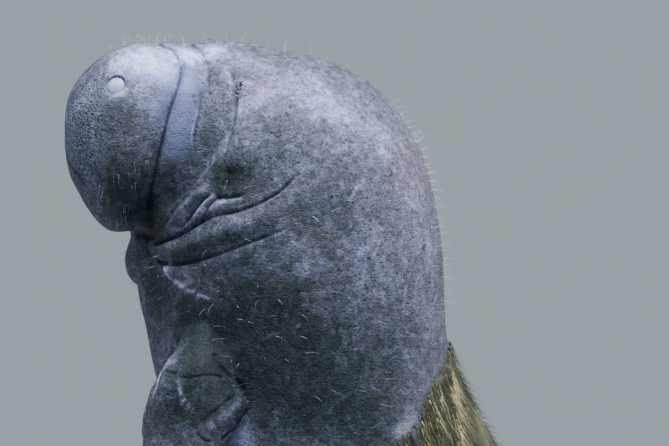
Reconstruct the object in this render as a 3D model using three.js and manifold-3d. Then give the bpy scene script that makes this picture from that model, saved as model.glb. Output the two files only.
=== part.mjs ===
// Life-size Florida manatee, upright in the water with its head bowed and turned a little to its left,
// on a plain display stand. Millimetres, +Z up. The back faces +X, the belly -X and the left side -Y.
// The origin is the centre of the underside of the stand's base.
import * as THREE from 'three';
import { LoftGeometry } from 'three/addons/geometries/LoftGeometry.js';
import { mergeGeometries, mergeVertices } from 'three/addons/utils/BufferGeometryUtils.js';
import Module from 'manifold-3d';

const wasm = await Module();
wasm.setup();

// Driving dimensions
const GAP = 0.3;
const AROUND_HEAD = 48;
const AROUND_BODY = 36;
const BODY_X = -294;
const THROAT_HEIGHT = 2110;
const NECK_X = -90;

// Frames of the body from the snout to the shoulders, in the plane of symmetry and measured from a point
// level with the throat. back and belly are the ends of a frame, half its half width, widest the height of
// the widest place as a share of the frame, sweep how far its sides lie behind its ends, turn and roll the
// head's turn and lean to the left in degrees, and steps the sections up to the next frame.
const frame = (back, belly, half, more = {}) => (
  { back, belly, half, widest: 0.5, sweep: 0, turn: 0, roll: 0, square: 2, steps: 2, ...more }
);
const HEAD_FRAMES = [
  frame([-384, 152], [-385, 104], 26, { turn: 22, roll: 10, square: 2.2, steps: 1 }),
  frame([-379, 174], [-381, 74], 66, { widest: 0.47, sweep: 1, turn: 22, roll: 10, square: 2.4, steps: 1 }),
  frame([-368, 195], [-372, 43], 92, { widest: 0.44, sweep: 3, turn: 22, roll: 10, square: 2.4 }),
  frame([-350, 217], [-356, 11], 109, { widest: 0.42, sweep: 6, turn: 22, roll: 10, square: 2.35 }),
  frame([-326, 238], [-336, -11], 119, { widest: 0.41, sweep: 8, turn: 22, roll: 10, square: 2.3 }),
  frame([-299, 250], [-317, -17], 123, { widest: 0.41, sweep: 11, turn: 21, roll: 10, square: 2.25 }),
  frame([-272, 255], [-303, -16], 123, { widest: 0.42, sweep: 14, turn: 20, roll: 9, square: 2.2, steps: 3 }),
  frame([-247, 257], [-293, -12], 121, { widest: 0.44, sweep: 18, turn: 19, roll: 8, square: 2.1, steps: 5 }),
  frame([-212, 258], [-293.5, -19], 128, { widest: 0.47, sweep: 30, turn: 17, roll: 7, steps: 5 }),
  frame([-164, 264], [-293, -25], 147, { sweep: 43, turn: 14, roll: 5, steps: 3 }),
  frame([-120, 261], [-292.5, -29], 164, { sweep: 36, turn: 11, roll: 4 }),
  frame([-70, 253], [-291.5, -33], 181, { sweep: 26, turn: 8, roll: 3 }),
  frame([-15, 242], [-290.2, -37], 196, { sweep: 12, turn: 5, roll: 2 }),
  frame([35, 218], [-289, -41], 206, { sweep: 4, turn: 3, roll: 1 }),
  frame([80, 182], [-288, -45], 214, { turn: 1, steps: 3 }),
  frame([121, 120], [-288, -50], 222, { steps: 3 }),
  frame([135, 85], [-288.5, -64], 226, { steps: 3 }),
  frame([146, 45], [-289, -77], 229),
  frame([157, -15], [-286, -101], 232),
  frame([162, -80], [-277, -141], 235),
  frame([164, -145], [-266, -195], 238),
  frame([170, -205], [-252, -250], 242),
  frame([188, -250], [-240, -320], 247),
  frame([214, -300], [-228, -395], 253),
];

// Frames of the trunk and tail: run is the way along the body from the last frame, pitch the body's slope
// below the level in degrees, depth its size from back to belly and half its half width.
const TRUNK_FRAMES = [
  { run: 110, pitch: 72, depth: 490, half: 266 },
  { run: 130, pitch: 66, depth: 525, half: 285 },
  { run: 150, pitch: 61, depth: 555, half: 302 },
  { run: 155, pitch: 57, depth: 572, half: 314 },
  { run: 155, pitch: 54, depth: 575, half: 318 },
  { run: 155, pitch: 51, depth: 560, half: 312 },
  { run: 155, pitch: 49, depth: 520, half: 292 },
  { run: 155, pitch: 47, depth: 455, half: 258 },
  { run: 145, pitch: 46, depth: 370, half: 214 },
  { run: 125, pitch: 45, depth: 285, half: 172 },
  { run: 105, pitch: 44, depth: 215, half: 148 },
  { run: 88, pitch: 43, depth: 165, half: 150 },
  { run: 88, pitch: 42, depth: 130, half: 185 },
  { run: 88, pitch: 41, depth: 105, half: 228 },
  { run: 88, pitch: 40, depth: 88, half: 258 },
  { run: 88, pitch: 38, depth: 74, half: 272 },
  { run: 88, pitch: 36, depth: 60, half: 270 },
  { run: 78, pitch: 34, depth: 48, half: 248 },
  { run: 58, pitch: 33, depth: 38, half: 208 },
  { run: 34, pitch: 32, depth: 30, half: 160 },
  { run: 20, pitch: 32, depth: 22, half: 108 },
  { run: 9, pitch: 32, depth: 14, half: 56 },
];

// Places along the body, counted in frames
const MUZZLE_END = 7;
const BAND_END = 8;
const CHEEK_END = 9;
const NECK_START = 12;
const FOLD_TOP = 15;
const FOLD_FOOT = 17;
const CHEST_END = 21;
const TORSO_SPLIT = 26;
const TORSO_REAR = 30;
const TAIL_START = 33;
const PADDLE_START = 35;

const rad = THREE.MathUtils.degToRad;
const ease = THREE.MathUtils.smoothstep;

const frames = [...HEAD_FRAMES];
const lastHead = HEAD_FRAMES[HEAD_FRAMES.length - 1];
let spineX = (lastHead.back[0] + lastHead.belly[0]) / 2;
let spineZ = (lastHead.back[1] + lastHead.belly[1]) / 2;
for (const { run, pitch, depth, half } of TRUNK_FRAMES) {
  const along = [Math.cos(rad(pitch)), -Math.sin(rad(pitch))];
  const up = [-along[1] * depth / 2, along[0] * depth / 2];
  spineX += run * along[0];
  spineZ += run * along[1];
  const back = [spineX + up[0], spineZ + up[1]];
  const belly = [spineX - up[0], spineZ - up[1]];
  frames.push(frame(back, belly, half, { steps: 1 }));
}
const LAST_FRAME = frames.length - 1;

const curveOf = (pick) => new THREE.SplineCurve(frames.map((f) => new THREE.Vector2(...pick(f))));
const backLine = curveOf((f) => f.back);
const bellyLine = curveOf((f) => f.belly);
const girth = curveOf((f) => [f.half, f.widest]);
const flow = curveOf((f) => [f.sweep, f.roll]);
const turning = curveOf((f) => [f.turn, f.square]);

// A bump of height 1 around a place, width wide
const bump = (offset, width) => Math.exp(-((offset / width) ** 2));

// 1 between two fold angles in degrees, easing out over a soft margin
function between(fold, from, to, soft = 14) {
  const rise = from <= 0 ? 1 : ease(fold, from - soft, from + soft);
  const fall = to >= 180 ? 1 : 1 - ease(fold, to - soft, to + soft);
  return rise * fall;
}

// Creases run round the body at a frame, between two angles from the back
const CREASES = [
  { at: MUZZLE_END, depth: 10, width: 0.1, from: 0, to: 180 },
  { at: BAND_END, depth: 8, width: 0.08, from: 0, to: 130 },
  { at: CHEEK_END, depth: 7, width: 0.1, from: 14, to: 140 },
  { at: FOLD_TOP, depth: 13, width: 0.12, from: 78, to: 158 },
  { at: FOLD_FOOT, depth: 11, width: 0.12, from: 84, to: 158 },
];

// Rolls swell between two frames
const ROLLS = [
  { from: MUZZLE_END, to: BAND_END, height: 5, low: 0, high: 150 },
  { from: BAND_END, to: CHEEK_END, height: 4, low: 0, high: 150 },
  { from: FOLD_TOP, to: FOLD_FOOT, height: 15, low: 92, high: 158 },
];

// The cleft between the two pads of the upper lip
const CLEFT = { from: 1.2, to: 6.4, depth: 26, width: 15 };

// How far the skin stands off the plain frame, at an angle in degrees from the back
function relief(place, fold) {
  let height = 0;
  for (const { at, depth, width, from, to } of CREASES) {
    height -= depth * bump(place - at, width) * between(fold, from, to);
  }
  for (const roll of ROLLS) {
    if (place <= roll.from || place >= roll.to) continue;
    const share = (place - roll.from) / (roll.to - roll.from);
    height += roll.height * Math.sin(Math.PI * share) * between(fold, roll.low, roll.high);
  }
  const cleft = ease(place, CLEFT.from, CLEFT.from + 2) * (1 - ease(place, CLEFT.to - 1, CLEFT.to));
  return height - CLEFT.depth * cleft * bump(180 - fold, CLEFT.width);
}

// A point of the skin: place counts frames from the snout, angle runs from the back towards the left side,
// lift stands it off the skin and shift moves its frame towards the tail.
function skinPoint(place, angle, lift = 0, shift = 0) {
  const share = place / LAST_FRAME;
  const back = backLine.getPoint(share);
  const belly = bellyLine.getPoint(share);
  const wide = girth.getPoint(share);
  const lean = flow.getPoint(share);
  const pose = turning.getPoint(share);
  const turn = rad(pose.x);
  const roll = rad(lean.y);
  const depth = back.distanceTo(belly);
  const up = back.clone().sub(belly).divideScalar(depth);
  const tailward = new THREE.Vector2(up.y, -up.x);
  const centre = belly.clone().addScaledVector(up, depth * wide.y);
  const cos = Math.cos(angle);
  const sin = Math.sin(angle);
  const radius = cos > 0 ? depth * (1 - wide.y) : depth * wide.y;
  const fold = THREE.MathUtils.radToDeg(Math.acos(THREE.MathUtils.clamp(cos, -1, 1)));
  const out = new THREE.Vector2(cos / radius, sin / wide.x).normalize();
  const stand = relief(place, fold) + lift;
  const high = Math.sign(cos) * Math.abs(cos) ** (2 / pose.y) * radius + out.x * stand;
  const side = Math.sign(sin) * Math.abs(sin) ** (2 / pose.y) * wide.x + out.y * stand;
  const rolledHigh = high * Math.cos(roll) - side * Math.sin(roll);
  const rolledSide = side * Math.cos(roll) + high * Math.sin(roll);
  const along = lean.x * sin * sin + shift;
  const x = centre.x + up.x * rolledHigh + tailward.x * along - NECK_X;
  const z = centre.y + up.y * rolledHigh + tailward.y * along;
  return new THREE.Vector3(
    NECK_X + x * Math.cos(turn) + rolledSide * Math.sin(turn),
    x * Math.sin(turn) - rolledSide * Math.cos(turn),
    z,
  );
}

// The outward direction of the skin at a place
function skinNormal(place, angle) {
  const ahead = skinPoint(place - 0.05, angle);
  const behind = skinPoint(place + 0.05, angle);
  const left = skinPoint(place, angle + 0.02);
  const right = skinPoint(place, angle - 0.02);
  return left.sub(right).cross(behind.sub(ahead)).normalize();
}

const ring = (count, point) => Array.from({ length: count }, (_, i) => point(2 * Math.PI * i / count));

// A flat or slightly dished end of a loft: a fan of triangles round its middle
function endFan(section, facesAhead) {
  const middle = new THREE.Vector3();
  section.forEach((point) => middle.addScaledVector(point, 1 / section.length));
  const faces = section.flatMap((_, i) => {
    const next = (i + 1) % section.length;
    return facesAhead ? [0, i + 1, next + 1] : [0, next + 1, i + 1];
  });
  return new THREE.BufferGeometry().setFromPoints([middle, ...section]).setIndex(faces);
}

// A loft through closed sections, with both its ends closed
function closedLoft(sections) {
  const wall = new LoftGeometry(sections, { closed: true });
  const pieces = [wall, endFan(sections[0], false), endFan(sections[sections.length - 1], true)];
  pieces.forEach((piece) => {
    piece.deleteAttribute('normal');
    piece.deleteAttribute('uv');
  });
  return mergeGeometries(pieces);
}

// The places of the sections between two frames, closer together near each frame
function placesBetween(from, to) {
  const places = [from];
  for (let frame = from; frame < to; frame += 1) {
    const steps = frames[frame].steps;
    for (let i = 1; i <= steps; i += 1) {
      const share = i / steps;
      const crowd = steps > 2 ? 0.7 * Math.sin(2 * Math.PI * share) / (2 * Math.PI) : 0;
      places.push(frame + share - crowd);
    }
  }
  return places;
}

// One length of the body, closed at both ends and a gap short of the length ahead of it
function bodyLength(from, to, around) {
  const sections = placesBetween(from, to).map((place, i) => (
    ring(around, (angle) => skinPoint(place, angle, 0, i === 0 && from > 0 ? GAP : 0))
  ));
  return closedLoft(sections);
}

// The space such a length fills, a gap larger all round and reaching into the length ahead of it
function lengthSpace(from, to, around) {
  const places = placesBetween(from, to);
  if (from > 0) places.unshift(from - 0.1);
  return closedLoft(places.map((place) => ring(around, (angle) => skinPoint(place, angle, GAP))));
}

// A closed mesh as a solid that can be joined and cut
function solidOf(geometry) {
  const bare = new THREE.BufferGeometry();
  bare.setAttribute('position', geometry.attributes.position);
  bare.setIndex(geometry.index);
  const merged = mergeVertices(bare, 1e-3);
  return new wasm.Manifold(new wasm.Mesh({
    numProp: 3,
    vertProperties: merged.attributes.position.array,
    triVerts: new Uint32Array(merged.index.array),
  }));
}

// The largest closed surface of a solid, as a geometry
function geometryOf(solid) {
  const [main] = solid.decompose().sort((a, b) => b.volume() - a.volume());
  const mesh = main.getMesh();
  const geometry = new THREE.BufferGeometry();
  geometry.setAttribute('position', new THREE.BufferAttribute(mesh.vertProperties, 3));
  geometry.setIndex(new THREE.BufferAttribute(mesh.triVerts, 1));
  return geometry;
}

// A ball squeezed to three half sizes, its first along the given direction and its second level
function pebble(centre, direction, sizes, around = 16) {
  const ball = new THREE.SphereGeometry(1, around, Math.round(around * 0.6));
  const level = new THREE.Vector3(0, 0, 1).cross(direction).normalize();
  const third = new THREE.Vector3().crossVectors(direction, level);
  const frame = new THREE.Matrix4().makeBasis(direction, level, third);
  ball.scale(...sizes).applyMatrix4(frame);
  return ball.translate(...centre.toArray());
}

// Every point of a geometry on the other side of the body
function mirrored(geometry) {
  const other = (geometry.index ? geometry.toNonIndexed() : geometry.clone()).scale(1, -1, 1);
  const points = other.attributes.position;
  for (let i = 0; i < points.count; i += 3) {
    const [x, y, z] = [points.getX(i), points.getY(i), points.getZ(i)];
    points.setXYZ(i, points.getX(i + 1), points.getY(i + 1), points.getZ(i + 1));
    points.setXYZ(i + 1, x, y, z);
  }
  return other;
}

const LENGTHS = [
  ['muzzle', 0, MUZZLE_END, AROUND_HEAD],
  ['head', MUZZLE_END, NECK_START, AROUND_HEAD],
  ['neck', NECK_START, FOLD_FOOT, AROUND_HEAD],
  ['chest', FOLD_FOOT, CHEST_END, AROUND_BODY],
  ['torso_front', CHEST_END, TORSO_SPLIT, AROUND_BODY],
  ['torso_middle', TORSO_SPLIT, TORSO_REAR, AROUND_BODY],
  ['torso_rear', TORSO_REAR, TAIL_START, AROUND_BODY],
  ['tail_stock', TAIL_START, PADDLE_START, AROUND_BODY],
  ['tail_paddle', PADDLE_START, LAST_FRAME, AROUND_BODY],
];
const solids = {};
for (const [name, from, to, around] of LENGTHS) {
  solids[name] = solidOf(bodyLength(from, to, around));
}

// The space that the whole body fills, a gap larger all round
const bodySpace = wasm.Manifold.union([
  ...Object.values(solids),
  ...LENGTHS.map(([, from, to, around]) => solidOf(lengthSpace(from, to, around))),
]);

// Lower jaw, tucked under the lips: sections from the chin's tip to the throat
const JAW = [
  { x: -306, z: -52, high: 12, half: 26 },
  { x: -301, z: -52, high: 25, half: 48 },
  { x: -290, z: -53, high: 35, half: 68 },
  { x: -272, z: -54, high: 41, half: 84 },
  { x: -246, z: -55, high: 44, half: 94 },
  { x: -216, z: -56, high: 42, half: 94 },
];
const JAW_TURN = 17;
const jaw = closedLoft(JAW.map(({ x, z, high, half }) => ring(24, (angle) => (
  new THREE.Vector3(x - NECK_X, -half * Math.sin(angle), z + high * Math.cos(angle))
))));
jaw.rotateZ(rad(JAW_TURN)).translate(NECK_X, 0, 0);
solids.lower_jaw = solidOf(jaw).subtract(bodySpace);

// Nostrils: a pit in each top corner of the muzzle, closed by a round valve
const NOSTRIL = { place: 3.75, angle: 49, pit: [9, 11.5, 13], valve: [7, 9, 10.5], drop: 2.2 };
for (const side of [1, -1]) {
  const angle = rad(NOSTRIL.angle) * side;
  const spot = skinPoint(NOSTRIL.place, angle);
  const out = skinNormal(NOSTRIL.place, angle);
  const pit = solidOf(pebble(spot, out, NOSTRIL.pit));
  const seat = spot.clone().addScaledVector(out, -1.5).add(new THREE.Vector3(0, 0, -NOSTRIL.drop));
  const valve = solidOf(pebble(seat, out, NOSTRIL.valve));
  solids.muzzle = solids.muzzle.subtract(pit).add(valve);
}

// Eyes: a ball in a socket, between two lids that leave a slit
const EYE = { place: 9.7, angle: 55, radius: 9, sink: 5.5 };
const LIDS = { radius: 7.5, thick: 3.6, squeeze: 0.6, slant: 1.05 };
const eyes = {};
for (const [name, side] of [['eye_left', 1], ['eye_right', -1]]) {
  const angle = rad(EYE.angle) * side;
  const out = skinNormal(EYE.place, angle);
  const centre = skinPoint(EYE.place, angle).addScaledVector(out, -EYE.sink);
  const lids = new THREE.TorusGeometry(LIDS.radius, LIDS.thick, 8, 16);
  lids.scale(1.15, LIDS.squeeze, 1).rotateZ(LIDS.slant * side);
  lids.lookAt(out);
  const rim = centre.clone().addScaledVector(out, EYE.sink + 0.8);
  lids.translate(...rim.toArray());
  const ball = new THREE.SphereGeometry(EYE.radius, 12, 8);
  const socket = new THREE.SphereGeometry(EYE.radius + GAP, 12, 8);
  const [eye, space] = [ball, socket].map((g) => solidOf(g.translate(...centre.toArray())));
  solids.head = solids.head.add(solidOf(lids)).subtract(space);
  eyes[name] = eye;
}

// Ear holes, a few millimetres wide, behind the eyes
const EAR = { place: 12.4, angle: 73, sizes: [5, 2.4, 2.8] };
for (const side of [1, -1]) {
  const angle = rad(EAR.angle) * side;
  const hole = pebble(skinPoint(EAR.place, angle), skinNormal(EAR.place, angle), EAR.sizes, 8);
  solids.head = solids.head.subtract(solidOf(hole));
}

// Left flipper, held down in front of the chest: sections from the shoulder to the tip. half is half the
// width, from the leading edge to the trailing one, and thick half the thickness.
const FLIPPER = [
  { at: [-142, -176, -118], half: 26, thick: 25 },
  { at: [-162, -202, -156], half: 33, thick: 28 },
  { at: [-170, -222, -188], half: 48, thick: 30 },
  { at: [-170, -230, -222], half: 65, thick: 28 },
  { at: [-181, -235, -272], half: 54, thick: 24 },
  { at: [-192, -236, -340], half: 60, thick: 20 },
  { at: [-197, -231, -412], half: 66, thick: 17 },
  { at: [-201, -221, -474], half: 57, thick: 13 },
  { at: [-204, -211, -520], half: 40, thick: 10 },
  { at: [-206, -206, -544], half: 18, thick: 6 },
];
const FLIPPER_ACROSS = new THREE.Vector3(-0.93, 0.36, 0).normalize();
const WRIST = 2;
const FLIPPER_TIP = FLIPPER.length - 1;
const flipperPath = new THREE.CatmullRomCurve3(FLIPPER.map((f) => new THREE.Vector3(...f.at)));
const flipperSize = new THREE.SplineCurve(FLIPPER.map((f) => new THREE.Vector2(f.half, f.thick)));
const WRIST_CREASE = { depth: 3.5, width: 0.16 };

// A point of the left flipper's skin, angle 0 on its leading edge
function flipperPoint(place, angle, lift = 0, shift = 0) {
  const share = place / FLIPPER_TIP;
  const size = flipperSize.getPoint(share);
  const along = flipperPath.getTangent(share);
  const outward = new THREE.Vector3().crossVectors(FLIPPER_ACROSS, along).normalize();
  const dent = WRIST_CREASE.depth * bump(place - WRIST, WRIST_CREASE.width);
  const stand = lift - dent;
  return flipperPath.getPoint(share)
    .addScaledVector(along, shift)
    .addScaledVector(FLIPPER_ACROSS, (size.x + stand) * Math.cos(angle))
    .addScaledVector(outward, (size.y + stand) * Math.sin(angle));
}

function flipperLength(from, to, lift = 0) {
  const places = [from];
  for (let place = from; place < to; place += 1) {
    const atWrist = place < WRIST + 1 && place >= WRIST - 1;
    places.push(...(atWrist ? [place + 0.2, place + 0.8] : [place + 0.5]), place + 1);
  }
  const sections = places.map((place, i) => (
    ring(18, (angle) => flipperPoint(place, -angle, lift, i === 0 && from > 0 ? GAP : 0))
  ));
  return closedLoft(sections);
}

const arm = flipperLength(0, WRIST);
const paddle = flipperLength(WRIST, FLIPPER_TIP);

// Nails on the outer side of the flipper's tip
const NAILS = [
  { place: 7.3, angle: 52 },
  { place: 8.05, angle: 70 },
  { place: 8.05, angle: 116 },
  { place: 7.3, angle: 134 },
];
const NAIL_SIZES = [4.5, 7.5, 10];

for (const [side, turned] of [['left', (g) => g], ['right', mirrored]]) {
  const flipperSpace = solidOf(turned(flipperLength(0, FLIPPER_TIP, GAP)));
  solids[`flipper_${side}_arm`] = solidOf(turned(arm)).subtract(bodySpace);
  solids[`flipper_${side}_paddle`] = solidOf(turned(paddle)).subtract(bodySpace);
  NAILS.forEach(({ place, angle }, i) => {
    const spot = flipperPoint(place, rad(angle));
    const inner = flipperPoint(place, rad(angle), -10);
    const nail = pebble(spot, spot.clone().sub(inner).normalize(), NAIL_SIZES, 8);
    solids[`nail_${side}_${i + 1}`] = solidOf(turned(nail)).subtract(flipperSpace);
  });
}

// Algae on the back: how far round the back it reaches at a place along the body
const ALGAE = { from: 20.35, to: 30, core: 6, root: 4, across: 12 };
const ALGAE_EDGE = [
  { place: 20.3, angle: 5 },
  { place: 20.8, angle: 38 },
  { place: 21.6, angle: 57 },
  { place: 23, angle: 70 },
  { place: 26, angle: 76 },
  { place: 28, angle: 64 },
  { place: 30.1, angle: 30 },
];

// The straight-line value of an edge table at a place
function edgeAngle(place) {
  const next = Math.max(1, ALGAE_EDGE.findIndex((row) => row.place >= place));
  const [low, high] = [ALGAE_EDGE[next - 1], ALGAE_EDGE[next]];
  return THREE.MathUtils.mapLinear(place, low.place, high.place, low.angle, high.angle);
}

const algaePlaces = [];
for (let place = ALGAE.from; place <= ALGAE.to; place += place < 23 ? 0.4 : 0.8) algaePlaces.push(place);
const algaeCore = closedLoft(algaePlaces.map((place) => {
  const reach = rad(edgeAngle(place));
  const across = Array.from({ length: ALGAE.across + 1 }, (_, i) => 2 * i / ALGAE.across - 1);
  const outer = across.map((share) => (
    skinPoint(place, reach * share, 1 + (ALGAE.core - 1) * (1 - share ** 6))
  ));
  const inner = across.map((share) => skinPoint(place, reach * share, -ALGAE.root)).reverse();
  return [...outer, ...inner];
}));

// Flat tapered locks of algae in rows over the mat, rooted in it, with their tips lifted and to the tail
const LOCK = { half: 54, short: 240, long: 310, row: 1.7, overlap: 1.05, drift: 5, seed: 41 };
const LOCK_SHAPE = [
  { share: 0, width: 0.7, thick: 3, lift: 1.2 },
  { share: 0.3, width: 1, thick: 4, lift: 6.5 },
  { share: 0.65, width: 0.75, thick: 3, lift: 10 },
  { share: 1, width: 0.08, thick: 1, lift: 14 },
];

// Millimetres along the body for each place, and round it for each radian
const runAt = (place) => skinPoint(place, 0.5).distanceTo(skinPoint(place + 0.2, 0.5)) / 0.2;
const swingAt = (place, angle) => skinPoint(place, angle).distanceTo(skinPoint(place, angle + 0.1)) / 0.1;

THREE.MathUtils.seededRandom(LOCK.seed);
const chance = (low, high) => low + (high - low) * THREE.MathUtils.seededRandom();

function algaeLock(root, angle) {
  const length = chance(LOCK.short, LOCK.long) / runAt(root);
  const half = LOCK.half * chance(0.85, 1.15);
  const drift = rad(chance(-LOCK.drift, LOCK.drift));
  return closedLoft(LOCK_SHAPE.map(({ share, width, thick, lift }) => {
    const place = root + length * share;
    const middle = angle + drift * share ** 2;
    const reach = half * width / swingAt(place, middle);
    return [
      skinPoint(place, middle - reach, lift),
      skinPoint(place, middle, lift + thick),
      skinPoint(place, middle + reach, lift),
      skinPoint(place, middle, lift - thick),
    ];
  }));
}

const algaeLocks = [];
for (let row = ALGAE.from + 0.25; row < ALGAE.to - 0.3; row += LOCK.row) {
  const reach = rad(edgeAngle(row));
  const spacing = 2 * LOCK.half * LOCK.overlap / swingAt(row, 0);
  const count = Math.max(2, Math.round(2 * reach / spacing));
  for (let i = 0; i < count; i += 1) {
    const share = (i + 0.5 + chance(-0.2, 0.2)) / count;
    algaeLocks.push(solidOf(algaeLock(row + chance(-0.2, 0.2), reach * (2 * share - 1))));
  }
}
solids.algae = wasm.Manifold.union([solidOf(algaeCore), ...algaeLocks]).subtract(bodySpace);

// Display stand: a rounded base plate and two rods with collars, each up to the belly
const BASE = { long: 1250, wide: 780, thick: 24, corner: 90 };
const ROD = { radius: 28, collar: 70, rise: 16, fillet: 12 };
const RODS = { front: -70, rear: 300 };

function basePlate() {
  const { long, wide, thick, corner } = BASE;
  const outline = new THREE.Shape();
  const [x, y] = [long / 2 - corner, wide / 2 - corner];
  outline.absarc(x, y, corner, 0, Math.PI / 2);
  outline.absarc(-x, y, corner, Math.PI / 2, Math.PI);
  outline.absarc(-x, -y, corner, Math.PI, 3 * Math.PI / 2);
  outline.absarc(x, -y, corner, 3 * Math.PI / 2, 2 * Math.PI);
  const edge = { depth: thick, bevelEnabled: false, curveSegments: 8 };
  return new THREE.ExtrudeGeometry(outline, edge);
}

function standRod(x) {
  const top = THROAT_HEIGHT;
  const profile = [
    [0, 0], [ROD.collar, 0], [ROD.collar, ROD.rise], [ROD.radius + ROD.fillet, ROD.rise],
    [ROD.radius, ROD.rise + ROD.fillet], [ROD.radius, top], [0, top],
  ].map(([radius, height]) => new THREE.Vector2(radius, height));
  const rod = new THREE.LatheGeometry(profile, 24);
  return rod.rotateX(Math.PI / 2).translate(x, 0, BASE.thick + GAP);
}

// The lowest piece of a rod once the body's space is cut from it
function below(solid) {
  return solid.decompose().sort((a, b) => a.boundingBox().min[2] - b.boundingBox().min[2])[0];
}

const throat = new THREE.Vector3(BODY_X, 0, THROAT_HEIGHT);
const standSpace = bodySpace.translate(throat.toArray());
const stand = { stand_base: solidOf(basePlate()) };
for (const [name, x] of Object.entries(RODS)) {
  stand[`stand_rod_${name}`] = below(solidOf(standRod(x)).subtract(standSpace));
}

const skinFinish = { color: 0x6b645e, roughness: 0.62, metalness: 0 };
const eyeFinish = { color: 0x15110f, roughness: 0.12, metalness: 0 };
const nailFinish = { color: 0x9c8f7c, roughness: 0.45, metalness: 0 };
const algaeFinish = { color: 0x7d6a3a, roughness: 0.9, metalness: 0 };
const standFinish = { color: 0x2b2d30, roughness: 0.45, metalness: 0.6 };

function finishOf(name) {
  if (name.startsWith('nail')) return nailFinish;
  if (name.startsWith('algae')) return algaeFinish;
  return skinFinish;
}

const group = new THREE.Group();
const body = new THREE.Group();
body.position.copy(throat);
group.add(body);

function addPiece(parent, name, solid, finish) {
  const mesh = new THREE.Mesh(geometryOf(solid), new THREE.MeshStandardMaterial(finish));
  mesh.name = name;
  parent.add(mesh);
}

for (const [name, solid] of Object.entries(solids)) addPiece(body, name, solid, finishOf(name));
for (const [name, solid] of Object.entries(eyes)) addPiece(body, name, solid, eyeFinish);
for (const [name, solid] of Object.entries(stand)) addPiece(group, name, solid, standFinish);

export default group;
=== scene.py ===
"""A life-size manatee held upright on a plain display stand, in a pale studio.

The hide is one skin over the whole body. Eyes, nostril valves, nails, hairs and algae are pieces of
their own.
"""

import logging
import math
import random
from dataclasses import dataclass, field
from enum import Enum
from typing import Any, Callable, Iterable, Sequence

import bmesh
import bpy
import numpy as np
from mathutils import Matrix, Vector, noise
from mathutils.bvhtree import BVHTree
from mathutils.kdtree import KDTree


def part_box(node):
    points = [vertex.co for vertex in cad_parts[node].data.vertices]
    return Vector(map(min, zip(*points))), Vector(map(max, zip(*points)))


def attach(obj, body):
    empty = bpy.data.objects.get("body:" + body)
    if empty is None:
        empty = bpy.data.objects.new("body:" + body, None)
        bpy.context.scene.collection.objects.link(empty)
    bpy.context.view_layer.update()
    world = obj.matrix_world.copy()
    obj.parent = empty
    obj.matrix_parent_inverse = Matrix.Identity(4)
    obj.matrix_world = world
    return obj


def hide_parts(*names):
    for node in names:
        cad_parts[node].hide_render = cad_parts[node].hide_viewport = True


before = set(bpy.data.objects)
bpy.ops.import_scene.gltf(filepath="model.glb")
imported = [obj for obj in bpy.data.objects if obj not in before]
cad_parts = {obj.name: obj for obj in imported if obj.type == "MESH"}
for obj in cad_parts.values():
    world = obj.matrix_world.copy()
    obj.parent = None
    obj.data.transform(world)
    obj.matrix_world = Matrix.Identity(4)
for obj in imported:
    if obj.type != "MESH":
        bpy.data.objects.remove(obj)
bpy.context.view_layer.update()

log = logging.getLogger("manatee")

MM = 0.001
THROAT = np.array([-0.294, 0.0, 2.110])
NECK_X = -90.0
EYE_PLACE = (9.7, math.radians(55))
NOSTRIL_PLACE = (3.73, math.radians(49))
FLESH = (
    "muzzle",
    "head",
    "neck",
    "chest",
    "torso_front",
    "torso_middle",
    "torso_rear",
    "tail_stock",
    "tail_paddle",
)
LIMBS = (
    "lower_jaw",
    "flipper_left_arm",
    "flipper_left_paddle",
    "flipper_right_arm",
    "flipper_right_paddle",
)


class Side(Enum):
    """Which sides of the body carry a mark."""

    BOTH = "both"
    LEFT = "left"


class StainAndShading(Enum):
    """What is painted on the hide, by channel: real marks, painted highlight, painted shade and tints."""

    # Real pale marks and scars, with painted highlight on ridges and the flipper, and the paler top where
    # the light falls.
    PALE = 0
    # Real dark marks, with painted shade under the head, on the throat, chest and belly, round the flipper
    # and in hollows.
    DARK = 1
    OCHRE = 2
    # Painted shade in creases, folds, pits and grooves.
    CREASE_SHADE = 3
    LILAC = 4


# Shape of the body


@dataclass(frozen=True)
class Frame:
    """One cross-section of the body, in millimetres from a point level with the throat."""

    back: tuple[float, float]
    belly: tuple[float, float]
    half: float
    widest: float = 0.5
    sweep: float = 0.0
    turn: float = 0.0
    roll: float = 0.0
    square: float = 2.0

    def row(self) -> tuple[float, ...]:
        """The section as one row of numbers."""
        shape = (self.half, self.widest, self.sweep, self.turn, self.roll, self.square)
        return (*self.back, *self.belly, *shape)


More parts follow.
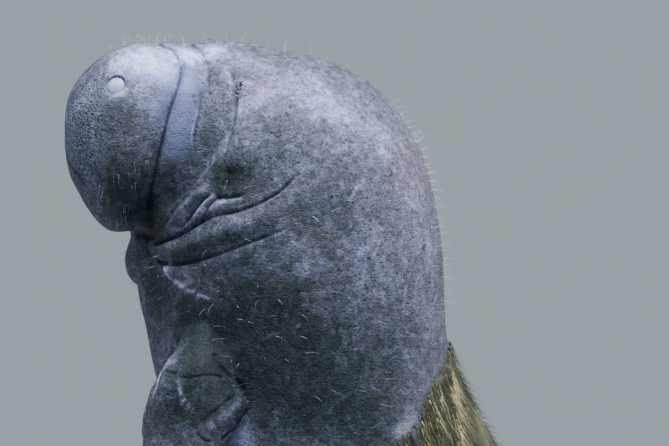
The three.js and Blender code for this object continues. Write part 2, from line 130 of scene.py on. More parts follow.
HEAD_FRAMES = (
    Frame((-384, 152), (-385, 104), 26, 0.5, 0, 22, 10, 2.2),
    Frame((-379, 174), (-381, 74), 66, 0.47, 1, 22, 10, 2.4),
    Frame((-368, 195), (-372, 43), 92, 0.44, 3, 22, 10, 2.4),
    Frame((-350, 217), (-356, 11), 109, 0.42, 6, 22, 10, 2.35),
    Frame((-326, 238), (-336, -11), 119, 0.41, 8, 22, 10, 2.3),
    Frame((-299, 250), (-317, -17), 123, 0.41, 11, 21, 10, 2.25),
    Frame((-272, 255), (-303, -16), 123, 0.42, 14, 20, 9, 2.2),
    Frame((-247, 257), (-293, -12), 121, 0.44, 18, 19, 8, 2.1),
    Frame((-212, 258), (-293.5, -19), 128, 0.47, 30, 17, 7),
    Frame((-164, 264), (-293, -25), 147, 0.5, 43, 14, 5),
    Frame((-120, 261), (-292.5, -29), 164, 0.5, 36, 11, 4),
    Frame((-70, 253), (-291.5, -33), 181, 0.5, 26, 8, 3),
    Frame((-15, 242), (-290.2, -37), 196, 0.5, 12, 5, 2),
    Frame((35, 218), (-289, -41), 206, 0.5, 4, 3, 1),
    Frame((80, 182), (-288, -45), 214, 0.5, 0, 1, 0),
    Frame((121, 120), (-288, -50), 222),
    Frame((135, 85), (-288.5, -64), 226),
    Frame((146, 45), (-289, -77), 229),
    Frame((157, -15), (-286, -101), 232),
    Frame((162, -80), (-277, -141), 235),
    Frame((164, -145), (-266, -195), 238),
    Frame((170, -205), (-252, -250), 242),
    Frame((188, -250), (-240, -320), 247),
    Frame((214, -300), (-228, -395), 253),
)

# Frames of the trunk and tail: run along the body, slope in degrees, depth and half width.
TRUNK_FRAMES = (
    (110, 72, 490, 266),
    (130, 66, 525, 285),
    (150, 61, 555, 302),
    (155, 57, 572, 314),
    (155, 54, 575, 318),
    (155, 51, 560, 312),
    (155, 49, 520, 292),
    (155, 47, 455, 258),
    (145, 46, 370, 214),
    (125, 45, 285, 172),
    (105, 44, 215, 148),
    (88, 43, 165, 150),
    (88, 42, 130, 185),
    (88, 41, 105, 228),
    (88, 40, 88, 258),
    (88, 38, 74, 272),
    (88, 36, 60, 270),
    (78, 34, 48, 248),
    (58, 33, 38, 208),
    (34, 32, 30, 160),
    (20, 32, 22, 108),
    (9, 32, 14, 56),
)


def ease(value: Any, low: float, high: float) -> Any:
    """A smooth step from 0 at low to 1 at high."""
    share = np.clip((value - low) / (high - low), 0.0, 1.0)
    return share * share * (3 - 2 * share)


@dataclass
class BodyForm:
    """The smooth surface of head, trunk and tail, by place along the body and angle from the back."""

    cleft_from: float = 1.2
    cleft_to: float = 6.4
    cleft_depth: float = 26.0
    cleft_width: float = 15.0
    rows: np.ndarray = field(init=False)

    def __post_init__(self) -> None:
        """Works the trunk's frames out and stores every frame as a row."""
        frames = list(HEAD_FRAMES)
        last = frames[-1]
        x = (last.back[0] + last.belly[0]) / 2
        z = (last.back[1] + last.belly[1]) / 2
        for run, slope, depth, half in TRUNK_FRAMES:
            pitch = math.radians(slope)
            x += run * math.cos(pitch)
            z -= run * math.sin(pitch)
            up = (math.sin(pitch) * depth / 2, math.cos(pitch) * depth / 2)
            frames.append(Frame((x + up[0], z + up[1]), (x - up[0], z - up[1]), half))
        self.rows = np.array([f.row() for f in frames], float)

    @property
    def last(self) -> float:
        """The place of the tail's tip."""
        return len(self.rows) - 1.0

    def section(self, place: np.ndarray) -> np.ndarray:
        """The frame at each place, on a smooth curve through the stored ones.

        Args:
            place: frames from the snout.

        Returns:
            One row of the frame's numbers for each place.
        """
        count = len(self.rows)
        first = np.clip(np.floor(place).astype(int), 0, count - 2)
        share = (place - first)[..., None]
        p0 = self.rows[np.maximum(first - 1, 0)]
        p1 = self.rows[first]
        p2 = self.rows[first + 1]
        p3 = self.rows[np.minimum(first + 2, count - 1)]
        v0 = (p2 - p0) / 2
        v1 = (p3 - p1) / 2
        cubic = (2 * p1 - 2 * p2 + v0 + v1) * share**3
        return cubic + (3 * p2 - 3 * p1 - 2 * v0 - v1) * share**2 + v0 * share + p1

    def skin(self, place: Any, angle: Any, lift: Any = 0.0) -> np.ndarray:
        """Points of the plain skin.

        Args:
            place: frames from the snout.
            angle: radians from the back towards the left side.
            lift: millimetres that the points stand off the skin.

        Returns:
            The points, in metres in the row frame.
        """
        place, angle, lift = np.broadcast_arrays(
            np.asarray(place, float), np.asarray(angle, float), np.asarray(lift, float)
        )
        cut = self.section(place)
        back, belly = cut[..., 0:2], cut[..., 2:4]
        half, widest, sweep, turn, roll, square = np.moveaxis(cut[..., 4:], -1, 0)
        turn, roll = np.radians(turn), np.radians(roll)
        depth = np.linalg.norm(back - belly, axis=-1)
        up = (back - belly) / depth[..., None]
        tailward = np.stack([up[..., 1], -up[..., 0]], -1)
        centre = belly + up * (depth * widest)[..., None]
        cos, sin = np.cos(angle), np.sin(angle)
        radius = np.where(cos > 0, depth * (1 - widest), depth * widest)
        out = np.stack([cos / radius, sin / half], -1)
        out /= np.linalg.norm(out, axis=-1, keepdims=True)
        stand = self.cleft(place, cos) + lift
        high = np.sign(cos) * np.abs(cos) ** (2 / square) * radius + out[..., 0] * stand
        side = np.sign(sin) * np.abs(sin) ** (2 / square) * half + out[..., 1] * stand
        rolled_high = high * np.cos(roll) - side * np.sin(roll)
        rolled_side = side * np.cos(roll) + high * np.sin(roll)
        along = sweep * sin * sin
        x = centre[..., 0] + up[..., 0] * rolled_high + tailward[..., 0] * along - NECK_X
        z = centre[..., 1] + up[..., 1] * rolled_high + tailward[..., 1] * along
        world_x = NECK_X + x * np.cos(turn) + rolled_side * np.sin(turn)
        world_y = x * np.sin(turn) - rolled_side * np.cos(turn)
        return np.stack([world_x, world_y, z], -1) * MM + THROAT

    def cleft(self, place: np.ndarray, cos: np.ndarray) -> np.ndarray:
        """How far the cleft between the pads of the upper lip sinks the skin.

        Args:
            place: frames from the snout.
            cos: the cosine of the angle from the back.

        Returns:
            Millimetres, below 0 in the cleft.
        """
        fold = np.degrees(np.arccos(np.clip(cos, -1, 1)))
        share = ease(place, self.cleft_from, self.cleft_from + 2)
        share = share * (1 - ease(place, self.cleft_to - 1, self.cleft_to))
        return -self.cleft_depth * share * np.exp(-(((180 - fold) / self.cleft_width) ** 2))

    def outward(self, place: float, angle: float) -> Vector:
        """The skin's outward direction at a place.

        Args:
            place: frames from the snout.
            angle: radians from the back.

        Returns:
            A vector of length 1.
        """
        places = np.array([place - 0.05, place + 0.05, place, place])
        point = self.skin(places, np.array([angle, angle, angle + 0.02, angle - 0.02]))
        return Vector(np.cross(point[2] - point[3], point[1] - point[0])).normalized()


@dataclass
class SkinMap:
    """Finds the place and angle of any point near the skin, and the same point on the other side."""

    form: BodyForm
    columns: int = 260
    places: np.ndarray = field(init=False)
    angles: np.ndarray = field(init=False)
    points: np.ndarray = field(init=False)
    tree: BVHTree = field(init=False)

    def __post_init__(self) -> None:
        """Lays a fine grid over the smooth skin."""
        places = [0.02]
        for i in range(int(self.form.last)):
            span = np.linalg.norm(self.form.rows[i + 1, 0:2] - self.form.rows[i, 0:2])
            steps = max(3, math.ceil(span / (4 if i < 20 else 12)))
            places.extend(i + (j + 1) / steps for j in range(steps))
        places[-1] -= 0.02
        self.places = np.array(places)
        self.angles = np.linspace(-math.pi, math.pi, self.columns + 1)
        self.points = self.form.skin(self.places[:, None], self.angles[None, :])
        grid = bmesh.new()
        across, along = len(self.angles) - 1, len(self.places) - 1
        bmesh.ops.create_grid(grid, x_segments=across, y_segments=along, size=1)
        flat = self.points.reshape(-1, 3)
        for vertex, point in zip(grid.verts, flat):
            vertex.co = point
        self.tree = BVHTree.FromBMesh(grid)
        self.kd = KDTree(len(flat))
        for i, point in enumerate(flat):
            self.kd.insert(point, i)
        self.kd.balance()
        grid.free()

    def locate(self, points: Iterable[Sequence[float]]) -> np.ndarray:
        """The place and angle of each point, as rows.

        Args:
            points: points near the skin.

        Returns:
            One row of place and angle for each point.
        """
        found = [self.kd.find(point)[1] for point in points]
        rows, columns = np.divmod(np.array(found, int), len(self.angles))
        return np.stack([self.places[rows], self.angles[columns]], -1)

    def nearest(self, point: Sequence[float]) -> tuple[Vector, float]:
        """The closest point of the smooth skin and its distance."""
        spot, _, _, distance = self.tree.find_nearest(point)
        return spot, distance

    def mirrored(self, point: Sequence[float]) -> Vector:
        """The same spot on the other side of the body.

        Args:
            point: a point near the skin.

        Returns:
            The point across the body's middle.
        """
        _, distance = self.nearest(point)
        if distance > 0.012:
            return Vector((point[0], -point[1], point[2]))
        place, angle = self.locate([point])[0]
        return Vector(self.form.skin(place, -angle))


@dataclass(frozen=True)
class SideView:
    """The side view in which marks are set out: its distance, and metres for each unit at the middle."""

    distance: float = 1.1
    unit: float = 0.0015
    middle: tuple[float, float] = (334.5, 223.0)

    def ray(self, u: float, v: float) -> tuple[Vector, Vector]:
        """The eye point and the direction towards a point of the view.

        Args:
            u: how far across the view.
            v: how far down the view.

        Returns:
            The eye point, and a vector of length 1.
        """
        origin = Vector(THROAT) + Vector((0, -self.distance, 0))
        x = (u - self.middle[0]) * self.unit
        z = (self.middle[1] - v) * self.unit
        return origin, Vector((x, self.distance, z)).normalized()

    def seen(self, spot: Vector) -> tuple[float, float]:
        """Where a point lies in the view.

        Args:
            spot: a point in metres.

        Returns:
            How far across and down the view.
        """
        offset = spot - Vector(THROAT)
        scale = self.distance / (self.distance + offset.y) / self.unit
        return self.middle[0] + offset.x * scale, self.middle[1] - offset.z * scale

    def hit(self, tree: BVHTree, u: float, v: float) -> Vector | None:
        """Where the line of sight through a point of the view meets a surface."""
        spot, _, _, _ = tree.ray_cast(*self.ray(u, v))
        return spot


# Marks of the hide, set out in the side view


@dataclass(frozen=True)
class Line:
    """A crease, ridge or scar along a line of the side view, with colour painted along it; on creases that
    colour is painted shade.
    """

    points: tuple[tuple[float, float], ...]
    height: float
    width: float
    paint_channel: StainAndShading | None = None
    strength: float = 0.0
    spread: float = 1.0
    side: Side = Side.BOTH
    over_top: bool = False
    fade: tuple[float, float] = (0.12, 0.12)


@dataclass(frozen=True)
class Patch:
    """A soft round swelling or patch of colour; some patches are real marks, others painted light and
    shade.
    """

    centre: tuple[float, float]
    radius: float
    paint_channel: StainAndShading | None
    strength: float
    height: float = 0.0
    side: Side = Side.BOTH


LINES = (
    # The fold behind the muzzle, with the muzzle's swell before it and the band's behind it. Their creases
    # are darkened as painted shade, and the pale lines on their ridges are partly the skin's own colour and
    # partly painted highlight
    Line(
        ((160, 42), (168, 46), (175, 50), (180, 57), (182.7, 66), (181.5, 78), (177.5, 92),
         (173.5, 104), (169.7, 118),
         (166.2, 132), (162.7, 147), (159.4, 163), (156.3, 178), (154, 190), (151.5, 205),
         (149.5, 222), (149, 236)),
        -7, 3.2, StainAndShading.CREASE_SHADE, 0.9, 0.5, over_top=True, fade=(0.0, 0.0),
    ),
    Line(
        ((150, 44), (160, 50), (168, 58), (171, 68), (170, 80), (166, 94), (161, 108), (157, 122),
         (153, 138),
         (149, 155), (146, 172), (144, 190)),
        1.8, 12,
    ),
    Line(((150, 44), (151, 56), (152, 70)), -2.8, 24, over_top=True, fade=(0.0, 0.35)),
    Line(((124, 48), (128, 60), (132, 76)), -2.2, 22, over_top=True, fade=(0.0, 0.35)),
    Line(
        ((176, 41), (186, 48), (193, 60), (194, 80), (188, 100), (183, 120), (178, 140), (172, 160),
         (165, 182)),
        3.0, 12, fade=(0.3, 0.12),
    ),
    Line(((178, 84), (174, 100), (170, 115), (166, 132)), 1.2, 2.6, StainAndShading.PALE, 0.4),
    Line(((191, 44), (197, 51), (201, 62), (202, 74)), -3, 3.6, over_top=True),
    Line(((192, 43), (199, 49), (205, 58), (208.5, 70), (209, 84), (208, 98), (206, 106)),
         -1.7, 1.8, StainAndShading.CREASE_SHADE, 0.7, 0.7, over_top=True),
    Line(((202, 82), (201.5, 93), (200.5, 104), (198.5, 115), (195.5, 128), (194, 140), (193.5, 154)),
         -2.6, 2.1, StainAndShading.CREASE_SHADE, 0.65, 0.7, fade=(0.35, 0.2)),
    Line(((199, 108), (196, 118), (193, 130), (191.8, 142), (192, 150)), 1.0, 1.5, StainAndShading.PALE, 0.5),
    Line(((184, 62), (189, 85), (187, 105), (183, 125), (178, 145), (172, 165)), 0, 17, StainAndShading.LILAC, 1.0),
    Line(((167, 70), (166, 88), (160, 105), (156, 122)), 0, 18, StainAndShading.LILAC, 0.6),
    Line(((212, 50), (219, 70), (220, 95), (215, 115), (209, 135), (204, 152)), 2.2, 12, over_top=True),
    Line(
        ((235, 90), (235.4, 97), (235.2, 106), (234.3, 116), (231, 130), (226.5, 145), (222, 160),
         (218.5, 172)),
        -3.4, 3.6, StainAndShading.CREASE_SHADE, 0.6, 0.7, fade=(0.12, 0.3),
    ),
    Line(((226, 58), (229.5, 67), (232, 75), (233, 83)), -1.2, 2.0, StainAndShading.CREASE_SHADE, 0.3, fade=(0.3, 0.3)),
    Line(((224, 66), (229, 80), (230, 95), (229, 108)), 1.5, 4, StainAndShading.PALE, 0.35, fade=(0.25, 0.25)),
    Line(((241, 100), (240, 112), (238, 125)), 1.2, 5, StainAndShading.PALE, 0.3, fade=(0.25, 0.25)),
    Line(((230, 168), (229, 180), (223, 190)), -5, 9),
    # Folds that fan out from the corner of the mouth, with painted shade in their creases; the pale on
    # their ridges is partly the skin's own colour and partly painted highlight
    Line(((165, 235), (176, 218), (188, 205), (199, 195), (208, 188)), 5, 6.5),
    Line(((158, 236), (168, 218), (180, 201), (192, 190),
        (204, 182)), -2.5, 4, StainAndShading.CREASE_SHADE, 0.4, fade=(0.2, 0.2)),
    Line(((178, 231), (188, 219), (196, 209), (204, 200), (212, 194.5)), -2.9, 2.1, StainAndShading.CREASE_SHADE, 0.6),
    Line(((191, 221), (198, 212), (205, 203), (212, 198), (218, 196)), 3.2, 3.2, StainAndShading.PALE, 0.5),
    Line(((197, 223), (204, 215), (209, 207), (215, 200.5), (222, 197.5)), -2.9, 1.9, StainAndShading.CREASE_SHADE, 0.6),
    Line(((205, 217), (210, 210), (218, 205), (230, 202.5), (244, 199),
        (254, 195)), 2.8, 4.6, StainAndShading.PALE, 0.55, 1.2,
         fade=(0.2, 0.4)),
    Line(((213, 195.5), (222, 198), (232, 197.5), (244, 195.5)), -3.0, 2.4, StainAndShading.CREASE_SHADE, 0.65),
    Line(((226, 190), (238, 190), (250, 187)), 2, 5, StainAndShading.PALE, 0.15),
    Line(
        ((148, 243), (156, 243.5), (164, 241), (173, 238), (182, 233), (191, 227.5), (200, 222),
         (208, 217.5),
         (216, 215), (226, 213.5), (236, 212), (246, 209)),
        -7, 3.0, StainAndShading.CREASE_SHADE, 0.6, 0.7, fade=(0.1, 0.35),
    ),
    Line(((216, 215), (226, 213.5), (240, 211), (256, 205), (270, 198), (283, 189), (291, 181), (297, 174)),
         -3.4, 2.1, StainAndShading.CREASE_SHADE, 0.55, 0.8, fade=(0.2, 0.12)),
    Line(
        ((150, 259), (158, 262.5), (170, 263.7), (182, 263.2), (194, 261.5), (206, 258.5), (218, 255),
         (230, 250.5)),
        -6.5, 3.2, StainAndShading.CREASE_SHADE, 0.45, 0.75, fade=(0.1, 0.45),
    ),
    Line(((200, 260), (214, 256.2), (228, 251.5), (242, 246), (256, 240.5), (270, 235), (284, 230),
        (296, 224)),
         -2.8, 2.1, StainAndShading.CREASE_SHADE, 0.4, 0.8, fade=(0.2, 0.35)),
    Line(
        ((152, 250), (165, 251), (180, 250), (195, 246), (210, 239), (225, 232), (240, 227),
         (255, 221), (270, 213),
         (285, 205)),
        8, 13, fade=(0.25, 0.25),
    ),
    Line(((160, 270), (185, 270), (205, 266), (225, 260), (245, 252), (262, 245)), 3, 9),
    # Painted shade: a dark stripe in the gap between the chin and the fold, and shade along the line of the
    # mouth.
    Line(((143, 238), (144, 250), (146, 260)), 0, 6, StainAndShading.DARK, 0.8, 1.8, fade=(0.0, 0.0)),
    Line(((126, 235.5), (133, 237.5), (142, 238.5), (150, 237)), -6, 4, StainAndShading.CREASE_SHADE, 1.0, fade=(0.0, 0.0)),
    # Scar on the left side of the throat
    Line(
        ((162.5, 264), (164.5, 269), (168, 275), (173, 280), (180, 285), (188, 290), (197, 294), (206, 298),
         (214, 301)),
        0.6, 2.0, StainAndShading.PALE, 1.7, 1.0, Side.LEFT, fade=(0.06, 0.12),
    ),
    # Flipper: the folds behind and before the arm, the wrist, a pale vein, the leading and trailing edges.
    # The folds, the wrist crease, the notches, the small dark arc and the dark line above the rolled
    # trailing band are painted shade; the pale line along the leading edge is a painted highlight, and the
    # dark line under the trailing edge a painted shadow
    Line(((213, 350), (216, 358), (220, 366), (226, 372), (233, 378), (240, 386), (245, 394)),
         -3.5, 3, StainAndShading.CREASE_SHADE, 0.7),
    Line(((177, 332), (176.5, 341), (174, 350), (168, 358), (162, 367)), -3, 3, StainAndShading.CREASE_SHADE, 0.5),
    Line(((164, 371), (170, 372.5), (177, 374.5)), -1.6, 1.8, StainAndShading.CREASE_SHADE, 0.6),
    Line(((178, 377), (188, 378), (198, 376.5), (208, 375.5), (218, 376.5), (227, 378)),
         -1.8, 2.0, StainAndShading.CREASE_SHADE, 0.6, fade=(0.1, 0.1)),
    Line(((177, 379), (180, 388), (183, 396), (187, 405), (191, 412),
        (194, 417)), 0.5, 1.9, StainAndShading.PALE, 1.0),
    Line(((161, 371), (158, 380), (155, 390), (152, 398)), 0, 2.6, StainAndShading.PALE, 1.0),
    Line(((243, 401), (232, 410), (220, 421), (207, 431)), 3, 6, StainAndShading.PALE, 0.4, 1.0, fade=(0.2, 0.1)),
    Line(((237, 394), (225, 404), (213, 414), (200, 425)), -2, 3, StainAndShading.DARK, 0.9, 1.2, fade=(0.2, 0.2)),
    Line(((249, 407), (243, 417), (236, 427), (226, 436), (220, 443)), -3, 2.4, StainAndShading.CREASE_SHADE, 0.8, 1.0),
    Line(((213, 419), (217, 426), (221, 431)), -1.2, 1.6, StainAndShading.CREASE_SHADE, 0.5),
    Line(((226, 405), (229, 411), (233, 416)), -1, 1.6, StainAndShading.CREASE_SHADE, 0.5),
    Line(((197, 432), (201, 438), (206, 441), (212, 441)), -1.6, 1.7, StainAndShading.CREASE_SHADE, 0.8),
    # Left edge of the snout's disc, darkened as painted shade where the far lip pad lies in shadow beyond
    # it
    Line(((66, 150), (69, 163), (74, 175), (80, 188)), -1.5, 3, StainAndShading.DARK, 1.0, fade=(0.1, 0.1)),
    # Scratches
    Line(((352, 196), (357, 187), (362, 177)), -0.4, 1.4, StainAndShading.PALE, 0.7, side=Side.LEFT),
    Line(((358, 193), (362, 184), (366, 176)), -0.4, 1.3, StainAndShading.PALE, 0.6, side=Side.LEFT),
    Line(((257, 339), (270, 335), (286, 331)), 0.3, 1.8, StainAndShading.PALE, 0.5, side=Side.LEFT),
    Line(((289, 322), (295, 322), (300, 326)), 0.3, 1.6, StainAndShading.PALE, 0.6, side=Side.LEFT),
    Line(((322, 155), (334, 152), (348, 148)), 0, 1.5, StainAndShading.PALE, 0.5, side=Side.LEFT),
)

# Plain patches of colour: across, down, radius and strength of each. Besides real marks, the pale ones
# along the top are painted light where the light falls from above, and those at the wrist a painted
# highlight. The dark ones under the muzzle, in the pit behind the mouth, on the throat, chest and belly and
# round the flipper are painted shade over real dark marks
STAINS_AND_SHADING = {
    StainAndShading.PALE: (
        (140, 56, 34, 0.95), (166, 72, 20, 0.6), (150, 92, 20, 0.15), (188, 56, 17, 1.0),
        (188, 82, 14, 0.4), (215, 52, 16, 0.85), (240, 60, 16, 0.35), (258, 98, 22, 0.45),
        (250, 84, 8, 0.3), (262, 66, 16, 0.3), (300, 84, 34, 0.45), (338, 108, 34, 0.45),
        (380, 135, 30, 0.3), (410, 190, 30, 0.25), (425, 250, 26, 0.28), (378, 245, 32, 0.16),
        (432, 310, 26, 0.2), (168, 269, 6, 0.7), (205, 282, 24, 0.25), (186, 273, 12, 0.5),
        (165, 364, 9, 0.35), (112, 66, 9, 0.35), (240, 438, 14, 0.8), (412, 421, 10, 0.6),
        (400, 434, 10, 0.5), (170, 362, 9, 0.5), (190, 357, 12, 0.1), (308, 268, 8, 0.4),
        (326, 316, 7, 0.35),
    ),
    StainAndShading.DARK: (
        (178, 150, 14, 0.1), (130, 210, 34, 0.62), (108, 175, 26, 0.45), (142, 172, 24, 0.38),
        (120, 122, 16, 0.35), (86, 122, 20, 0.55), (155, 225, 20, 0.95), (178, 195, 18, 0.65),
        (200, 160, 18, 0.45), (228, 180, 17, 1.1), (250, 180, 20, 0.4), (205, 138, 11, 0.35),
        (262, 165, 18, 0.2), (190, 254, 24, 0.8), (225, 238, 18, 0.4), (265, 225, 20, 0.35),
        (300, 212, 14, 0.4), (150, 292, 34, 0.8), (200, 320, 40, 0.9), (255, 300, 40, 0.7),
        (298, 330, 40, 0.8), (260, 375, 46, 0.8), (320, 400, 50, 0.75), (375, 430, 40, 0.55),
        (330, 270, 26, 0.15), (330, 212, 26, 0.32), (285, 136, 24, 0.16), (200, 356, 20, 0.35),
        (226, 168, 15, 0.7), (380, 350, 40, 0.35), (208, 392, 22, 1.1), (172, 412, 26, 0.75),
        (212, 362, 18, 0.6),
    ),
    StainAndShading.OCHRE: (
        (112, 57, 6, 0.8), (88, 178, 8, 0.5), (126, 91, 6, 0.35), (193, 166, 8, 0.3),
        (302, 214, 10, 0.12),
    ),
}

PATCHES = (
    *(Patch(row[:2], row[2], paint_channel, row[3]) for paint_channel, rows in STAINS_AND_SHADING.items() for row in rows),
    # The dark and rusty spot on the back, and the pits on the band behind the muzzle, darkened as painted
    # shade
    Patch((424, 248), 2.6, StainAndShading.DARK, 1.4, side=Side.LEFT),
    Patch((427, 248), 2.4, StainAndShading.OCHRE, 1.0, side=Side.LEFT),
    Patch((421, 256), 6, StainAndShading.DARK, 0.4, side=Side.LEFT),
    Patch((193, 97), 2, StainAndShading.CREASE_SHADE, 0.9, -0.8),
    Patch((195, 103), 1.8, StainAndShading.CREASE_SHADE, 0.9, -0.8),
    Patch((189, 109), 1.6, StainAndShading.CREASE_SHADE, 0.5, -0.5),
    # Shape alone: the throat's hollow and the edges of the snout's disc
    Patch((152, 338), 20, None, 0, -5),
    Patch((84, 190), 30, None, 0, -7),
    Patch((88, 90), 24, None, 0, -5),
    Patch((82, 178), 14, None, 0, -3),
    Patch((142, 262), 40, None, 0, -6),
    Patch((152, 316), 44, None, 0, -7),
)


# Small helpers for meshes


def link(name: str, mesh: bpy.types.Mesh) -> bpy.types.Object:
    """A mesh as an object of the scene, at the origin.

    Args:
        name: what the object is called.
        mesh: its mesh.

    Returns:
        The object.
    """
    piece = bpy.data.objects.new(name, mesh)
    bpy.context.scene.collection.objects.link(piece)
    return piece


def to_mesh(name: str, shape: bmesh.types.BMesh, smooth: bool = True) -> bpy.types.Mesh:
    """Writes a bmesh into a new mesh and frees it.

    Args:
        name: what the mesh is called.
        shape: the bmesh, which is freed.
        smooth: whether its faces are shaded smooth.

    Returns:
        The mesh.
    """
    mesh = bpy.data.meshes.new(name)
    for face in shape.faces:
        face.smooth = smooth
    shape.to_mesh(mesh)
    shape.free()
    return mesh


def coordinates(mesh: bpy.types.Mesh) -> np.ndarray:
    """The places of a mesh's vertices.

    Args:
        mesh: the mesh.

    Returns:
        One row for each vertex, in metres.
    """
    flat = np.empty(len(mesh.vertices) * 3, np.float32)
    mesh.vertices.foreach_get("co", flat)
    return flat.reshape(-1, 3).astype(float)


def directions(mesh: bpy.types.Mesh) -> np.ndarray:
    """The outward direction at each vertex of a mesh.

    Args:
        mesh: the mesh.

    Returns:
        One row for each vertex.
    """
    flat = np.empty(len(mesh.vertices) * 3, np.float32)
    mesh.vertex_normals.foreach_get("vector", flat)
    return flat.reshape(-1, 3).astype(float)


def set_coordinates(mesh: bpy.types.Mesh, points: np.ndarray) -> None:
    """Moves a mesh's vertices."""
    mesh.vertices.foreach_set("co", points.astype(np.float32).ravel())
    mesh.update()


def edge_pairs(mesh: bpy.types.Mesh) -> np.ndarray:
    """The two vertices of each edge.

    Args:
        mesh: the mesh.

    Returns:
        One row of two vertex numbers for each edge.
    """
    flat = np.empty(len(mesh.edges) * 2, np.int32)
    mesh.edges.foreach_get("vertices", flat)
    return flat.reshape(-1, 2)


def relax(points: np.ndarray, edges: np.ndarray, weight: np.ndarray, rounds: int) -> np.ndarray:
    """Evens a surface out without shrinking it much.

    Args:
        points: the vertices.
        edges: pairs of neighbours.
        weight: how far each vertex may move, 0 to 1.
        rounds: how often a step in and a step out are taken.

    Returns:
        The new vertices.
    """
    count = np.bincount(edges.ravel(), minlength=len(points)).astype(float)[:, None]
    for _ in range(rounds):
        for step in (0.55, -0.5):
            total = np.zeros_like(points)
            np.add.at(total, edges[:, 0], points[edges[:, 1]])
            np.add.at(total, edges[:, 1], points[edges[:, 0]])
            points = points + (total / np.maximum(count, 1) - points) * step * weight[:, None]
    return points


def smooth_line(points: Sequence[tuple[float, float]], step: float = 4.0) -> list[tuple[float, float]]:
    """More points on a smooth curve through the given ones.

    Args:
        points: the given points.
        step: how far apart the new ones may be.

    Returns:
        The points of the curve.
    """
    rows = np.array(points, float)
    made: list[tuple[float, float]] = []
    for i in range(len(rows) - 1):
        p0, p1, p2, p3 = rows[max(i - 1, 0)], rows[i], rows[i + 1], rows[min(i + 2, len(rows) - 1)]
        parts = max(1, math.ceil(np.linalg.norm(p2 - p1) / step))
        for j in range(parts):
            t = j / parts
            v0, v1 = (p2 - p0) / 2, (p3 - p1) / 2
            spot = (2 * p1 - 2 * p2 + v0 + v1) * t**3 + (3 * p2 - 3 * p1 - 2 * v0 - v1) * t**2 + v0 * t + p1
            made.append((float(spot[0]), float(spot[1])))
    made.append((float(rows[-1][0]), float(rows[-1][1])))
    return made


def line_distance(points: np.ndarray, line: np.ndarray) -> tuple[np.ndarray, np.ndarray]:
    """Distances to a line of straight pieces.

    Args:
        points: where to measure from.
        line: the line's own points.

    Returns:
        The distance of each point and the share of the way along the line.
    """
    start, end = line[:-1], line[1:]
    span = end - start
    length = np.maximum(np.linalg.norm(span, axis=1), 1e-9)
    reach = np.concatenate([[0], np.cumsum(length)])
    best = np.full(len(points), 1e9)
    along = np.zeros(len(points))
    for i in range(len(span)):
        offset = points - start[i]
        share = np.clip(offset @ span[i] / length[i] ** 2, 0, 1)
        distance = np.linalg.norm(offset - share[:, None] * span[i], axis=1)
        closer = distance < best
        best[closer] = distance[closer]
        along[closer] = (reach[i] + share[closer] * length[i]) / reach[-1]
    return best, along


# Shader maths


class Wire:
    """An output socket, with arithmetic that adds Math nodes."""

    def __init__(self, shop: "Shop", socket: bpy.types.NodeSocket) -> None:
        """Keeps the socket and the material it belongs to."""
        self.shop = shop
        self.socket = socket

    def _math(self, operation: str, *values: Any) -> "Wire":
        """A Math node on the given values."""
        return self.shop.node("ShaderNodeMath", {"operation": operation}, dict(enumerate(values)))

    def __add__(self, other: Any) -> "Wire":
        """Sum."""
        return self._math("ADD", self, other)

    def __sub__(self, other: Any) -> "Wire":
        """Difference."""
        return self._math("SUBTRACT", self, other)

    def __rsub__(self, other: Any) -> "Wire":
        """Difference, the other way round."""
        return self._math("SUBTRACT", other, self)

    def __mul__(self, other: Any) -> "Wire":
        """Product."""
        return self._math("MULTIPLY", self, other)

    __radd__ = __add__
    __rmul__ = __mul__

    def power(self, exponent: float) -> "Wire":
        """This value raised to a power."""
        return self._math("POWER", self, exponent)

    def step(self, low: float, high: float) -> "Wire":
        """A smooth step from 0 to 1 between two values."""
        values = {"Value": self, "From Min": low, "From Max": high}
        return self.shop.node("ShaderNodeMapRange", {"interpolation_type": "SMOOTHSTEP"}, values)


